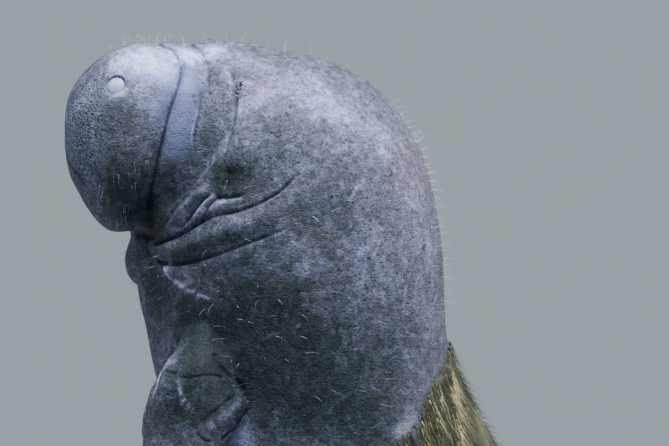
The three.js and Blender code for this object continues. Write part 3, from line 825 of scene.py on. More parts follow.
class Shop:
    """Builds one material."""

    def __init__(self, name: str) -> None:
        """Starts a material with a Principled shader.

        Args:
            name: what the material is called.
        """
        self.material = bpy.data.materials.new(name)
        self.material.use_nodes = True
        self.tree = self.material.node_tree
        self.tree.nodes.clear()
        self.shader = self.tree.nodes.new("ShaderNodeBsdfPrincipled")
        end = self.tree.nodes.new("ShaderNodeOutputMaterial")
        self.tree.links.new(self.shader.outputs["BSDF"], end.inputs["Surface"])

    def node(self, kind: str, settings: dict[str, Any], values: dict[Any, Any], output: Any = 0) -> Wire:
        """Adds a node.

        Args:
            kind: the node's type.
            settings: its own properties; "stops" are the stops of a colour ramp.
            values: numbers, colours or wires for its inputs, by name or number.
            output: which output to hand on.

        Returns:
            The chosen output.
        """
        made = self.tree.nodes.new(kind)
        for key, value in settings.items():
            if key == "stops":
                ramp = made.color_ramp
                while len(ramp.elements) < len(value):
                    ramp.elements.new(0.5)
                for element, (position, colour) in zip(ramp.elements, value):
                    element.position = position
                    element.color = (*colour, 1)
            else:
                setattr(made, key, value)
        for key, value in values.items():
            socket = made.inputs[key]
            if isinstance(value, Wire):
                self.tree.links.new(value.socket, socket)
            elif socket.type == "RGBA":
                socket.default_value = (*value, 1)
            else:
                socket.default_value = value
        return Wire(self, made.outputs[output])

    def here(self, scale: Sequence[float] = (1, 1, 1), turn: Sequence[float] = (0, 0, 0)) -> Wire:
        """Object coordinates, stretched and turned."""
        place = self.node("ShaderNodeTexCoord", {}, {}, "Object")
        return self.node("ShaderNodeMapping", {}, {"Vector": place, "Scale": scale, "Rotation": turn})

    def grain(
        self, scale: float, detail: float = 4, rough: float = 0.55, where: Wire | None = None
    ) -> Wire:
        """Noise between about 0.25 and 0.75."""
        values = {"Vector": where or self.here(), "Scale": scale, "Detail": detail, "Roughness": rough}
        return self.node("ShaderNodeTexNoise", {}, values, "Fac")

    def cells(self, scale: float, feature: str = "F1", where: Wire | None = None) -> Wire:
        """Distances in a cell pattern."""
        values = {"Vector": where or self.here(), "Scale": scale}
        return self.node("ShaderNodeTexVoronoi", {"feature": feature}, values, "Distance")

    def paint(self, attribute: str) -> tuple[Wire, Wire, Wire]:
        """Three painted channels of an attribute.

        Args:
            attribute: the attribute's name.

        Returns:
            Its red, green and blue.
        """
        colour = self.node("ShaderNodeAttribute", {"attribute_name": attribute}, {}, "Color")
        split = self.tree.nodes.new("ShaderNodeSeparateColor")
        self.tree.links.new(colour.socket, split.inputs["Color"])
        return tuple(Wire(self, split.outputs[i]) for i in range(3))

    def channel(self, attribute: str) -> Wire:
        """One painted number of an attribute."""
        return self.node("ShaderNodeAttribute", {"attribute_name": attribute}, {}, "Fac")

    def mix(self, share: Any, first: Any, second: Any) -> Wire:
        """A colour between two colours."""
        settings = {"data_type": "RGBA", "blend_type": "MIX"}
        return self.node("ShaderNodeMix", settings, {0: share, 6: first, 7: second}, 2)

    def bump(self, height: Wire, strength: float, distance: float, under: Wire | None = None) -> Wire:
        """A normal bent by a height.

        Args:
            height: the height.
            strength: 0 to 1.
            distance: the depth in metres.
            under: a normal to start from.

        Returns:
            The bent normal.
        """
        values: dict[str, Any] = {"Height": height, "Strength": strength, "Distance": distance}
        if under is not None:
            values["Normal"] = under
        return self.node("ShaderNodeBump", {}, values)

    def dress(self, **values: Any) -> bpy.types.Material:
        """Sets the shader's inputs, named with underscores for spaces.

        Args:
            values: a number, colour or wire for each input.

        Returns:
            The finished material.
        """
        for key, value in values.items():
            socket = self.shader.inputs[key.replace("_", " ")]
            if isinstance(value, Wire):
                self.tree.links.new(value.socket, socket)
            elif socket.type == "RGBA":
                socket.default_value = (*value, 1)
            else:
                socket.default_value = value
        return self.material


def tone(red: int, green: int, blue: int) -> tuple[float, float, float]:
    """A screen colour from 0 to 255 as linear light."""
    parts = [c / 255 for c in (red, green, blue)]
    return tuple(c / 12.92 if c <= 0.04045 else ((c + 0.055) / 1.055) ** 2.4 for c in parts)


@dataclass(frozen=True)
class HideFinish:
    """Mottled slate and lavender hide, paler on top as painted light from above and darker below as painted
    shade over real dark marks.
    """

    tones: tuple[tuple[float, tuple[float, float, float]], ...] = (
        (0.0, tone(14, 20, 25)),
        (0.22, tone(33, 42, 48)),
        (0.42, tone(64, 68, 83)),
        (0.6, tone(99, 101, 128)),
        (0.78, tone(136, 144, 190)),
        (1.0, tone(187, 196, 243)),
    )
    brown: tuple[float, float, float] = tone(66, 58, 56)
    buff: tuple[float, float, float] = tone(186, 176, 172)
    # Black for real dark specks and pores, and for the painted shade in creases.
    black: tuple[float, float, float] = tone(20, 24, 28)
    green: tuple[float, float, float] = tone(30, 40, 36)
    ochre: tuple[float, float, float] = tone(152, 122, 80)
    slate: tuple[float, float, float] = tone(36, 42, 72)
    lavender: tuple[float, float, float] = tone(100, 110, 160)
    # Pale colour of the painted highlight on the ridges of the snout disc's net.
    spot: tuple[float, float, float] = tone(168, 174, 204)

    def material(self) -> bpy.types.Material:
        """The hide's material.

        Returns:
            The material.
        """
        shop = Shop("hide")
        # Pale holds real pale marks with painted highlight and the paler lit top; dark holds real dark
        # marks with painted shade.
        pale, dark, ochre = shop.paint("stains")
        furrow = shop.channel("furrow")
        disc = shop.channel("disc")
        cloud = shop.grain(8, 4, 0.6)
        blotch = shop.grain(52, 5, 0.68)
        speck = shop.grain(115, 4, 0.72)
        grit = shop.grain(380, 3, 0.7)
        lilac = shop.channel("lilac")
        calm = 1 - lilac * 0.75
        islands = shop.grain(72, 3, 0.5).step(0.53, 0.62) - 0.3
        # Painted light and shade: the pale channel lifts the tone and the dark channel lowers it.
        level = 0.465 + pale * 0.44 - dark * 0.34 - lilac * 0.01 + islands * 0.08 * calm
        streak = shop.grain(30, 5, 0.7, shop.here((2.2, 1, 0.8), (0, 0.5, 0)))
        texture = (cloud - 0.5) * 0.12 + (blotch - 0.5) * 0.32 + (speck - 0.5) * 0.75 + (grit - 0.5) * 0.6
        level = level + (texture + (streak - 0.5) * 0.3) * calm
        colour = shop.node("ShaderNodeValToRGB", {"stops": self.tones}, {"Fac": level}, "Color")
        rusty = shop.grain(19, 5, 0.6, shop.here((1, 1, 1.4)))
        colour = shop.mix(lilac * 0.5, colour, self.lavender)
        colour = shop.mix(rusty.step(0.48, 0.66) * 0.34 * calm * (1 - dark * 0.6), colour, self.brown)
        colour = shop.mix(rusty.step(0.46, 0.36) * pale * 0.3, colour, self.buff)
        colour = shop.mix(cloud.step(0.5, 0.62) * dark * 0.5, colour, self.green)
        colour = shop.mix((speck + blotch * 0.5).step(0.86, 0.96) * 0.5, colour, self.black)
        colour = shop.mix((ochre + (speck - 0.5) * ochre * 2).step(0.15, 0.9) * 0.75, colour, self.ochre)
        net = shop.cells(230, "DISTANCE_TO_EDGE", shop.here((1, 1, 1.2)))
        pits = net.step(0.1, 0.3) * disc
        colour = shop.mix(pits * 0.8, colour, self.slate)
        # Painted highlight on the ridges of the snout disc's net.
        colour = shop.mix(disc * (1 - net.step(0.02, 0.12)) * 0.3, colour, self.spot)
        # Painted shade: creases, pits and grooves darkened towards black.
        colour = shop.mix(furrow.step(0.0, 1.0) * 0.85, colour, self.black)
        pore = (1 - shop.cells(135).step(0.16, 0.34)) * blotch.step(0.46, 0.6) * calm
        colour = shop.mix(pore * 0.5, colour, self.black)
        leather = shop.cells(210, "DISTANCE_TO_EDGE", shop.here((1, 1, 1.2))).step(0.0, 0.2)
        crumple = shop.grain(48, 5, 0.62)
        height = leather * 0.25 + crumple * 1.0 + speck * 0.8 - pits * 1.0 - pore * 0.8
        normal = shop.bump(height, 0.6, 0.0024)
        rough = 0.5 + blotch * 0.25 + dark * 0.08
        return shop.dress(Base_Color=colour, Roughness=rough, Normal=normal, Specular_IOR_Level=0.13)


@dataclass(frozen=True)
class StrandFinish:
    """Hairs or algae, with a tint that changes from strand to strand."""

    name: str
    dark: tuple[float, float, float]
    middle: tuple[float, float, float]
    light: tuple[float, float, float]
    rough: float = 0.7

    def material(self) -> bpy.types.Material:
        """The strands' material.

        Returns:
            The material.
        """
        shop = Shop(self.name)
        tint = shop.channel("tint")
        streak = shop.grain(70, 3, 0.6)
        patch = shop.grain(9, 3, 0.5)
        value = tint * 0.7 + streak * 0.25 + patch * 0.35
        ramp = {"stops": ((0.2, self.dark), (0.58, self.middle), (0.95, self.light))}
        colour = shop.node("ShaderNodeValToRGB", ramp, {"Fac": value}, "Color")
        return shop.dress(Base_Color=colour, Roughness=self.rough, Specular_IOR_Level=0.25)


@dataclass(frozen=True)
class PlainFinish:
    """A nearly even finish with a little cloud and grain."""

    name: str
    light: tuple[float, float, float]
    dark: tuple[float, float, float]
    rough: float
    metal: float = 0.0
    scale: float = 40.0
    coat: float = 0.0
    relief: float = 0.0002

    def material(self) -> bpy.types.Material:
        """The finish's material.

        Returns:
            The material.
        """
        shop = Shop(self.name)
        cloud = shop.grain(self.scale, 4, 0.6)
        fine = shop.grain(self.scale * 9, 3, 0.6)
        colour = shop.mix(cloud.step(0.35, 0.65), self.dark, self.light)
        rough = self.rough + (fine - 0.5) * 0.15
        normal = shop.bump(fine, 0.3, self.relief)
        return shop.dress(
            Base_Color=colour, Roughness=rough, Normal=normal, Metallic=self.metal, Coat_Weight=self.coat
        )


# Skin


@dataclass
class Hide:
    """One closed skin over head, trunk, tail, jaw and flippers."""

    form: BodyForm
    where: SkinMap
    view: SideView
    voxel: float = 0.0105
    inflate: float = 0.0005
    fine_above: float = 1.70
    limb_reach: float = 0.03
    body_reach: float = 0.05
    limb_margin: float = 0.0008
    fold_width: float = 6.0
    fold_reach: float = 0.013
    crease_width: float = 3.3
    crease_reach: float = 0.0065
    ring_reaches: tuple[float, float] = (0.026, 0.021)
    snap_reach: float = 0.0035
    calm_rounds: int = 30
    calm_spots: tuple[tuple[float, float, float], ...] = (
        (155, 212, 0.03), (138, 268, 0.032), (140, 286, 0.03), (148, 245, 0.02)
    )
    piece: bpy.types.Object | None = None

    def joined(self, names: Sequence[str], lift: float) -> bmesh.types.BMesh:
        """Copies of CAD nodes in one bmesh, each swollen a little so that they meet.

        Args:
            names: the nodes.
            lift: how far each is swollen, in metres.

        Returns:
            The copies.
        """
        whole = bmesh.new()
        for name in names:
            part = bmesh.new()
            part.from_mesh(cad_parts[name].data)
            bmesh.ops.remove_doubles(part, verts=part.verts, dist=1e-5)
            part.normal_update()
            for vertex in part.verts:
                vertex.co += vertex.normal * lift
            mesh = bpy.data.meshes.new("part")
            part.to_mesh(mesh)
            part.free()
            whole.from_mesh(mesh)
            bpy.data.meshes.remove(mesh)
        return whole

    def coarse(self) -> bpy.types.Mesh:
        """All the flesh as one even mesh.

        Returns:
            A mesh of even quads.
        """
        source = link("source", to_mesh("source", self.joined(FLESH + LIMBS, self.inflate)))
        remesh = source.modifiers.new("even", "REMESH")
        remesh.mode = "VOXEL"
        remesh.voxel_size = self.voxel
        graph = bpy.context.evaluated_depsgraph_get()
        mesh = bpy.data.meshes.new_from_object(source.evaluated_get(graph))
        bpy.data.objects.remove(source)
        return mesh

    def settle(self, mesh: bpy.types.Mesh, limb_tree: BVHTree, body_tree: BVHTree) -> np.ndarray:
        """Lays the body's vertices on the smooth form and evens the limbs out.

        Args:
            mesh: the skin.
            limb_tree: the jaw and flippers.
            body_tree: the head, trunk and tail.

        Returns:
            1 where a vertex belongs to a limb, 0 on the body.
        """
        points = coordinates(mesh)
        limb = np.zeros(len(points))
        for i, point in enumerate(points):
            _, _, _, near_limb = limb_tree.find_nearest(point, self.limb_reach)
            _, _, _, near_body = body_tree.find_nearest(point, self.body_reach)
            if near_limb is not None and near_limb < (near_body or 1.0) - self.limb_margin:
                limb[i] = 1.0
                continue
            spot, _ = self.where.nearest(point)
            points[i] = spot
        edges = edge_pairs(mesh)
        points = relax(points, edges, limb, 6)
        border = limb.copy()
        for _ in range(2):
            reach = border.copy()
            np.maximum.at(reach, edges[:, 0], border[edges[:, 1]])
            np.maximum.at(reach, edges[:, 1], border[edges[:, 0]])
            border = reach
        points = relax(points, edges, border * 0.7, 3)
        set_coordinates(mesh, points)
        return limb

    def calm(self, mesh: bpy.types.Mesh, tree: BVHTree) -> None:
        """Evens the skin out where the head, the jaw and the throat run together.

        Args:
            mesh: the skin.
            tree: its surface.
        """
        points = coordinates(mesh)
        weight = np.zeros(len(points))
        for u, v, radius in self.calm_spots:
            spot = self.view.hit(tree, u, v)
            for centre in (spot, self.where.mirrored(spot)):
                distance = np.linalg.norm(points - np.array(centre), axis=1)
                weight = np.maximum(weight, 1 - ease(distance, radius * 0.6, radius * 1.4))
        edges = edge_pairs(mesh)
        count = np.bincount(edges.ravel(), minlength=len(points)).astype(float)[:, None]
        for _ in range(self.calm_rounds):
            total = np.zeros_like(points)
            np.add.at(total, edges[:, 0], points[edges[:, 1]])
            np.add.at(total, edges[:, 1], points[edges[:, 0]])
            points = points + (total / np.maximum(count, 1) - points) * 0.5 * weight[:, None]
        set_coordinates(mesh, points)

    def refine(self, mesh: bpy.types.Mesh, chosen: Callable[[np.ndarray], np.ndarray]) -> None:
        """Halves the faces whose corners a test picks.

        Args:
            mesh: the skin.
            chosen: the test, given every vertex.
        """
        mask = chosen(coordinates(mesh))
        shape = bmesh.new()
        shape.from_mesh(mesh)
        shape.verts.ensure_lookup_table()
        edges = [e for e in shape.edges if mask[e.verts[0].index] and mask[e.verts[1].index]]
        bmesh.ops.subdivide_edges(shape, edges=edges, cuts=1, use_grid_fill=True)
        shape.to_mesh(mesh)
        shape.free()

    def near(self, lines: Sequence[np.ndarray], reach: float) -> Callable[[np.ndarray], np.ndarray]:
        """A test for points within reach of any of the lines.

        Args:
            lines: the lines.
            reach: the distance in metres.

        Returns:
            The test.
        """

        def test(points: np.ndarray) -> np.ndarray:
            """Whether each point is near a line."""
            hit = np.zeros(len(points), bool)
            for line in lines:
                low, high = line.min(0) - reach, line.max(0) + reach
                rows = np.flatnonzero(((points > low) & (points < high)).all(1))
                if len(rows):
                    hit[rows] |= line_distance(points[rows], line)[0] < reach
            return hit

        return test

    def traced(self, mark: Line, tree: BVHTree) -> list[np.ndarray]:
        """A mark's line on the left side, and on the right unless it is on one side only.

        Args:
            mark: the mark.
            tree: the skin's surface.

        Returns:
            The lines, as rows of points in metres.
        """
        hits = [self.view.hit(tree, u, v) for u, v in smooth_line(mark.points)]
        left = [spot for spot in hits if spot is not None]
        if len(left) < 2:
            return []
        if mark.over_top:
            place, angle = self.where.locate([left[0]])[0]
            steps = max(2, math.ceil(abs(angle) / 0.1))
            crown = [Vector(self.form.skin(place, angle * i / steps)) for i in range(steps)]
            left = crown + left
        lines = [np.array([tuple(p) for p in left])]
        if mark.side is Side.BOTH:
            lines.append(np.array([tuple(self.where.mirrored(p)) for p in left]))
        return lines

    def engrave(self, mesh: bpy.types.Mesh, tree: BVHTree) -> None:
        """Raises and sinks the skin along the marks and paints their colour, painted shade and painted
        highlight among it.

        Args:
            mesh: the skin.
            tree: its surface.
        """
        points = coordinates(mesh)
        normals = directions(mesh)
        lift = np.zeros(len(points))
        paint = np.zeros((len(points), len(StainAndShading)))
        for mark in LINES:
            for line in self.traced(mark, tree):
                self.draw(mark, line, points, lift, paint)
        for patch in PATCHES:
            self.dab(patch, tree, points, lift, paint)
        lift += self.lumps(points)
        self.face_details(points, lift, paint)
        points = points + normals * (lift * MM)[:, None]
        set_coordinates(mesh, self.lids(points))
        # The pale and dark channels carry painted highlight and painted shade besides real marks, and the
        # crease channel carries painted shade alone.
        colour = mesh.attributes.new("stains", "FLOAT_COLOR", "POINT")
        rows = np.concatenate([np.clip(paint[:, :3], 0, 1), np.ones((len(points), 1))], 1)
        colour.data.foreach_set("color", rows.astype(np.float32).ravel())
        self.store(mesh, "furrow", np.clip(paint[:, StainAndShading.CREASE_SHADE.value], 0, 1))
        self.store(mesh, "lilac", np.clip(paint[:, StainAndShading.LILAC.value], 0, 1))

    def store(self, mesh: bpy.types.Mesh, name: str, values: np.ndarray) -> None:
        """Keeps one number for each vertex."""
        layer = mesh.attributes.new(name, "FLOAT", "POINT")
        layer.data.foreach_set("value", values.astype(np.float32))

    def draw(
        self, mark: Line, line: np.ndarray, points: np.ndarray, lift: np.ndarray, paint: np.ndarray
    ) -> None:
        """Adds one line's height and painted colour, which on creases is painted shade.

        Args:
            mark: the mark.
            line: its points on the skin.
            points: the skin's vertices.
            lift: their heights in millimetres, which are added to.
            paint: their painted colour and shade, which are added to.
        """
        reach = max(mark.width, mark.width * mark.spread) * 2.6 * MM
        low, high = line.min(0) - reach, line.max(0) + reach
        rows = np.flatnonzero(((points > low) & (points < high)).all(1))
        if not len(rows):
            return
        distance, along = line_distance(points[rows], line)
        taper = np.ones(len(rows))
        if mark.fade[0] and not mark.over_top:
            taper = ease(along, 0, mark.fade[0])
        if mark.fade[1]:
            taper = taper * (1 - ease(along, 1 - mark.fade[1], 1))
        profile = np.exp(-((distance / (mark.width * MM)) ** 2))
        lift[rows] += mark.height * profile * taper
        if mark.paint_channel is not None:
            soft = np.exp(-((distance / (mark.width * mark.spread * MM)) ** 2))
            paint[rows, mark.paint_channel.value] += mark.strength * soft * taper

    def dab(
        self, patch: Patch, tree: BVHTree, points: np.ndarray, lift: np.ndarray, paint: np.ndarray
    ) -> None:
        """Adds one round patch, on both sides unless it is on one side only.

        Args:
            patch: the patch.
            tree: the skin's surface.
            points: the skin's vertices.
            lift: their heights in millimetres, which are added to.
            paint: their painted colour and shade, which are added to.
        """
        spot = self.view.hit(tree, *patch.centre)
        if spot is None:
            return
        spots = [spot] + ([self.where.mirrored(spot)] if patch.side is Side.BOTH else [])
        for centre in spots:
            distance = np.linalg.norm(points - np.array(centre), axis=1) / (patch.radius * 1.25 * MM)
            soft = np.exp(-(distance**2))
            lift += patch.height * soft
            if patch.paint_channel is not None:
                paint[:, patch.paint_channel.value] += patch.strength * soft

    def lumps(self, points: np.ndarray) -> np.ndarray:
        """Small unevenness of the skin.

        Args:
            points: the skin's vertices.

        Returns:
            A height for each, in millimetres.
        """
        lift = np.zeros(len(points))
        for i, point in enumerate(points):
            spot = Vector(point)
            lift[i] = 1.5 * noise.noise(spot * 11) + 0.7 * noise.noise(spot * 33)
            if point[2] > self.fine_above:
                lift[i] += 0.4 * noise.noise(spot * 85)
        return lift

    def face_details(self, points: np.ndarray, lift: np.ndarray, paint: np.ndarray) -> None:
        """Sinks the nostril pits, rings them, and grooves the skin round the eyes, with painted shade in
        the top of each nostril pit and in the groove round each eye.

        Args:
            points: the skin's vertices.
            lift: their heights in millimetres, which are added to.
            paint: their painted colour and shade, which are added to.
        """
        for side in (1, -1):
            place, angle = NOSTRIL_PLACE
            centre = self.form.skin(place, angle * side)
            distance = np.linalg.norm(points - centre, axis=1) / MM
            crown = ease(points[:, 2] - centre[2] + 0.5 * (points[:, 0] - centre[0]), -0.007, 0.007)
            lift -= (2.2 + 4.8 * crown) * (1 - ease(distance, 11.0, 13.6))
            lift += 0.8 * crown * np.exp(-(((distance - 15.0) / 2.4) ** 2))
            paint[:, StainAndShading.CREASE_SHADE.value] += 0.9 * crown * (1 - ease(distance, 11.0, 13.8))
            lower = ease(centre[2] - points[:, 2], -0.002, 0.012)
            paint[:, StainAndShading.PALE.value] += 0.5 * lower * np.exp(-(((distance - 16) / 3) ** 2))
            paint[:, StainAndShading.OCHRE.value] += 0.25 * lower * np.exp(-(((distance - 16) / 3) ** 2))
            place, angle = EYE_PLACE
            centre = self.form.skin(place, angle * side)
            distance = np.linalg.norm(points - centre, axis=1) / MM
            lift += 1.2 * np.exp(-((distance / 11) ** 2))
            lift -= 0.8 * np.exp(-(((distance - 15) / 1.8) ** 2))
            lift -= 0.5 * np.exp(-(((distance - 21) / 2.0) ** 2))
            paint[:, StainAndShading.CREASE_SHADE.value] += 0.2 * np.exp(-(((distance - 15) / 1.6) ** 2))

    def lids(self, points: np.ndarray) -> np.ndarray:
        """Draws the skin round each eyeball, open along a slit.

        Args:
            points: the skin's vertices.

        Returns:
            The vertices, moved off the eyeballs.
        """
        for side in (1, -1):
            eye = EyeBall(self.form, side)
            centre = np.array(eye.centre())
            offset = points - centre
            distance = np.linalg.norm(offset, axis=1)
            rows = np.flatnonzero(distance < 0.022)
            along, across, out = eye.axes()
            local = offset[rows] @ np.array([along, across, out]).T
            shape = np.hypot(local[:, 0] / (eye.slit_half * MM), local[:, 1] / (eye.slit_open * MM))
            slit = 1 - ease(shape, 0.75, 1.25)
            front = local[:, 2] > 0
            cover = (eye.radius + 0.0013) * np.ones(len(rows))
            lip = 0.0006 * np.exp(-(((shape - 1.5) / 0.4) ** 2))
            wanted = cover + lip - slit * 0.0045
            inside = front & ((distance[rows] < wanted) | (slit > 0.3))
            pick = rows[inside]
            points[pick] = centre + offset[pick] / distance[pick, None] * wanted[inside][:, None]
        return points

    def disc_mask(self, points: np.ndarray) -> np.ndarray:
        """Where the snout carries its net of bristle pits.

        Args:
            points: the skin's vertices.

        Returns:
            1 in the middle of the disc, 0 off it.
        """
        spots = self.where.locate(points)
        place, fold = spots[:, 0], np.degrees(np.abs(spots[:, 1]))
        reach = 1 - ease(place, 2.2, 3.6)
        return reach * ease(fold, 15, 50) * (1 - 0.7 * ease(fold, 110, 150)) * (points[:, 0] < -0.55)

    def sharp_lines(self, tree: BVHTree, widest: float) -> list[np.ndarray]:
        """The lines of all creases and ridges up to a width in millimetres."""
        marks = [mark for mark in LINES if abs(mark.height) >= 0.8 and mark.width <= widest]
        return [line for mark in marks for line in self.traced(mark, tree)]

    def build(self) -> bpy.types.Object:
        """Makes the skin: laid on the smooth form, refined along the marks, then engraved and painted.

        Returns:
            The piece.
        """
        mesh = self.coarse()
        log.info("coarse skin: %d faces", len(mesh.polygons))
        limbs = self.joined(LIMBS, 0.0)
        body = self.joined(FLESH, 0.0)
        limb_tree, body_tree = BVHTree.FromBMesh(limbs), BVHTree.FromBMesh(body)
        limbs.free()
        body.free()
        self.settle(mesh, limb_tree, body_tree)
        self.refine(mesh, lambda points: points[:, 2] > self.fine_above)
        self.settle(mesh, limb_tree, body_tree)
        tree = BVHTree.FromPolygons(
            [tuple(p) for p in coordinates(mesh)], [tuple(f.vertices) for f in mesh.polygons]
        )
        folds = self.sharp_lines(tree, self.fold_width)
        creases = self.sharp_lines(tree, self.crease_width)
        places = (EYE_PLACE, NOSTRIL_PLACE)
        spots = [self.form.skin(place, angle * side) for place, angle in places for side in (1, -1)]
        rings = [np.array([spot, spot + 1e-5]) for spot in spots]
        self.refine(mesh, self.near(folds, self.fold_reach))
        self.refine(mesh, self.near(creases, self.crease_reach))
        for reach in self.ring_reaches:
            self.refine(mesh, self.near(rings, reach))
        points = coordinates(mesh)
        for i, point in enumerate(points):
            spot, distance = self.where.nearest(point)
            if distance < self.snap_reach:
                points[i] = spot
        set_coordinates(mesh, points)
        self.calm(mesh, tree)
        self.engrave(mesh, tree)
        self.store(mesh, "disc", self.disc_mask(coordinates(mesh)))
        shape = bmesh.new()
        shape.from_mesh(mesh)
        bmesh.ops.triangulate(shape, faces=[f for f in shape.faces if len(f.verts) > 4])
        bmesh.ops.recalc_face_normals(shape, faces=shape.faces)
        for face in shape.faces:
            face.smooth = True
        shape.to_mesh(mesh)
        shape.free()
        mesh.name = "hide"
        self.piece = link("hide", mesh)
        self.piece.data.materials.append(HideFinish().material())
        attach(self.piece, "root")
        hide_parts(*FLESH, *LIMBS)
        return self.piece


EYE = PlainFinish("eye", tone(52, 42, 38), tone(20, 17, 17), 0.22, scale=300, coat=0.2, relief=0.00002)
VALVE = PlainFinish("nostril_valve", tone(152, 164, 204), tone(126, 138, 180), 0.6, scale=180)


@dataclass
class EyeBall:
    """One eyeball, dark and moist."""

    form: BodyForm
    side: int
    radius: float = 0.009
    sink: float = 5.5
    slant: float = 62.0
    slit_half: float = 5.4
    slit_open: float = 1.5

    def centre(self) -> Vector:
        """The middle of the ball.

        Returns:
            The point, in metres.
        """
        place, angle = EYE_PLACE
        angle *= self.side
        return Vector(self.form.skin(place, angle)) - self.form.outward(place, angle) * self.sink * MM

    def axes(self) -> tuple[Vector, Vector, Vector]:
        """Along the slit, across it, and out of the skin.

        Returns:
            Three vectors of length 1.
        """
        place, angle = EYE_PLACE
        out = self.form.outward(place, angle * self.side)
        level = Vector((1, 0, 0)) - out * out.x
        level.normalize()
        along = Matrix.Rotation(math.radians(self.slant) * self.side, 3, out) @ level
        return along, out.cross(along), out

    def build(self) -> bpy.types.Object:
        """Makes the dark ball.

        Returns:
            The piece.
        """
        name = "eye_left" if self.side > 0 else "eye_right"
        shape = bmesh.new()
        bmesh.ops.create_uvsphere(shape, u_segments=32, v_segments=20, radius=self.radius)
        along, across, out = self.axes()
        turn = Matrix((along, across, out)).transposed().to_4x4()
        bmesh.ops.transform(shape, matrix=Matrix.Translation(self.centre()) @ turn, verts=shape.verts)
        piece = link(name + "_ball", to_mesh(name, shape))
        piece.data.materials.append(EYE.material())
        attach(piece, "root")
        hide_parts(name)
        return piece


@dataclass
class NostrilPlug:
    """The pale round valve that closes one nostril."""

    form: BodyForm
    side: int
    size: float = 0.0114
    flat: float = 0.5
    sink: float = 0.0050
    drop: float = 0.0004

    def build(self) -> bpy.types.Object:
        """Makes the flattened dome of the valve.

        Returns:
            The piece.
        """
        place, angle = NOSTRIL_PLACE
        out = self.form.outward(place, angle * self.side)
        spot = Vector(self.form.skin(place, angle * self.side))
        level = Vector((0, 0, 1)).cross(out).normalized()
        turn = Matrix((level, out.cross(level), out)).transposed().to_4x4()
        shape = bmesh.new()
        bmesh.ops.create_uvsphere(shape, u_segments=28, v_segments=18, radius=self.size)
        bmesh.ops.scale(shape, vec=(1.0, 1.06, self.flat), verts=shape.verts)
        for vertex in shape.verts:
            vertex.co += vertex.normal * 0.0004 * noise.noise(vertex.co * 260)
        centre = spot - out * self.sink - out.cross(level) * self.drop
        bmesh.ops.transform(shape, matrix=Matrix.Translation(centre) @ turn, verts=shape.verts)
        name = "nostril_left" if self.side > 0 else "nostril_right"
        piece = link(name, to_mesh(name, shape))
        piece.data.materials.append(VALVE.material())
        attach(piece, "root")
        return piece


# Hairs and algae


@dataclass(frozen=True)
class Strand:
    """One hair or thread: where it is rooted, how it runs and how light it is.

    home is its root's place on the unwrapped skin, up the skin's outward direction there, bend how far its
    tip is carried off its first direction, and wave how far it sways.
    """

    root: Vector
    head: Vector
    up: Vector
    bend: Vector
    length: float
    width: float
    tint: float
    home: tuple[float, float]
    wave: float = 0.0
    phase: float = 0.0


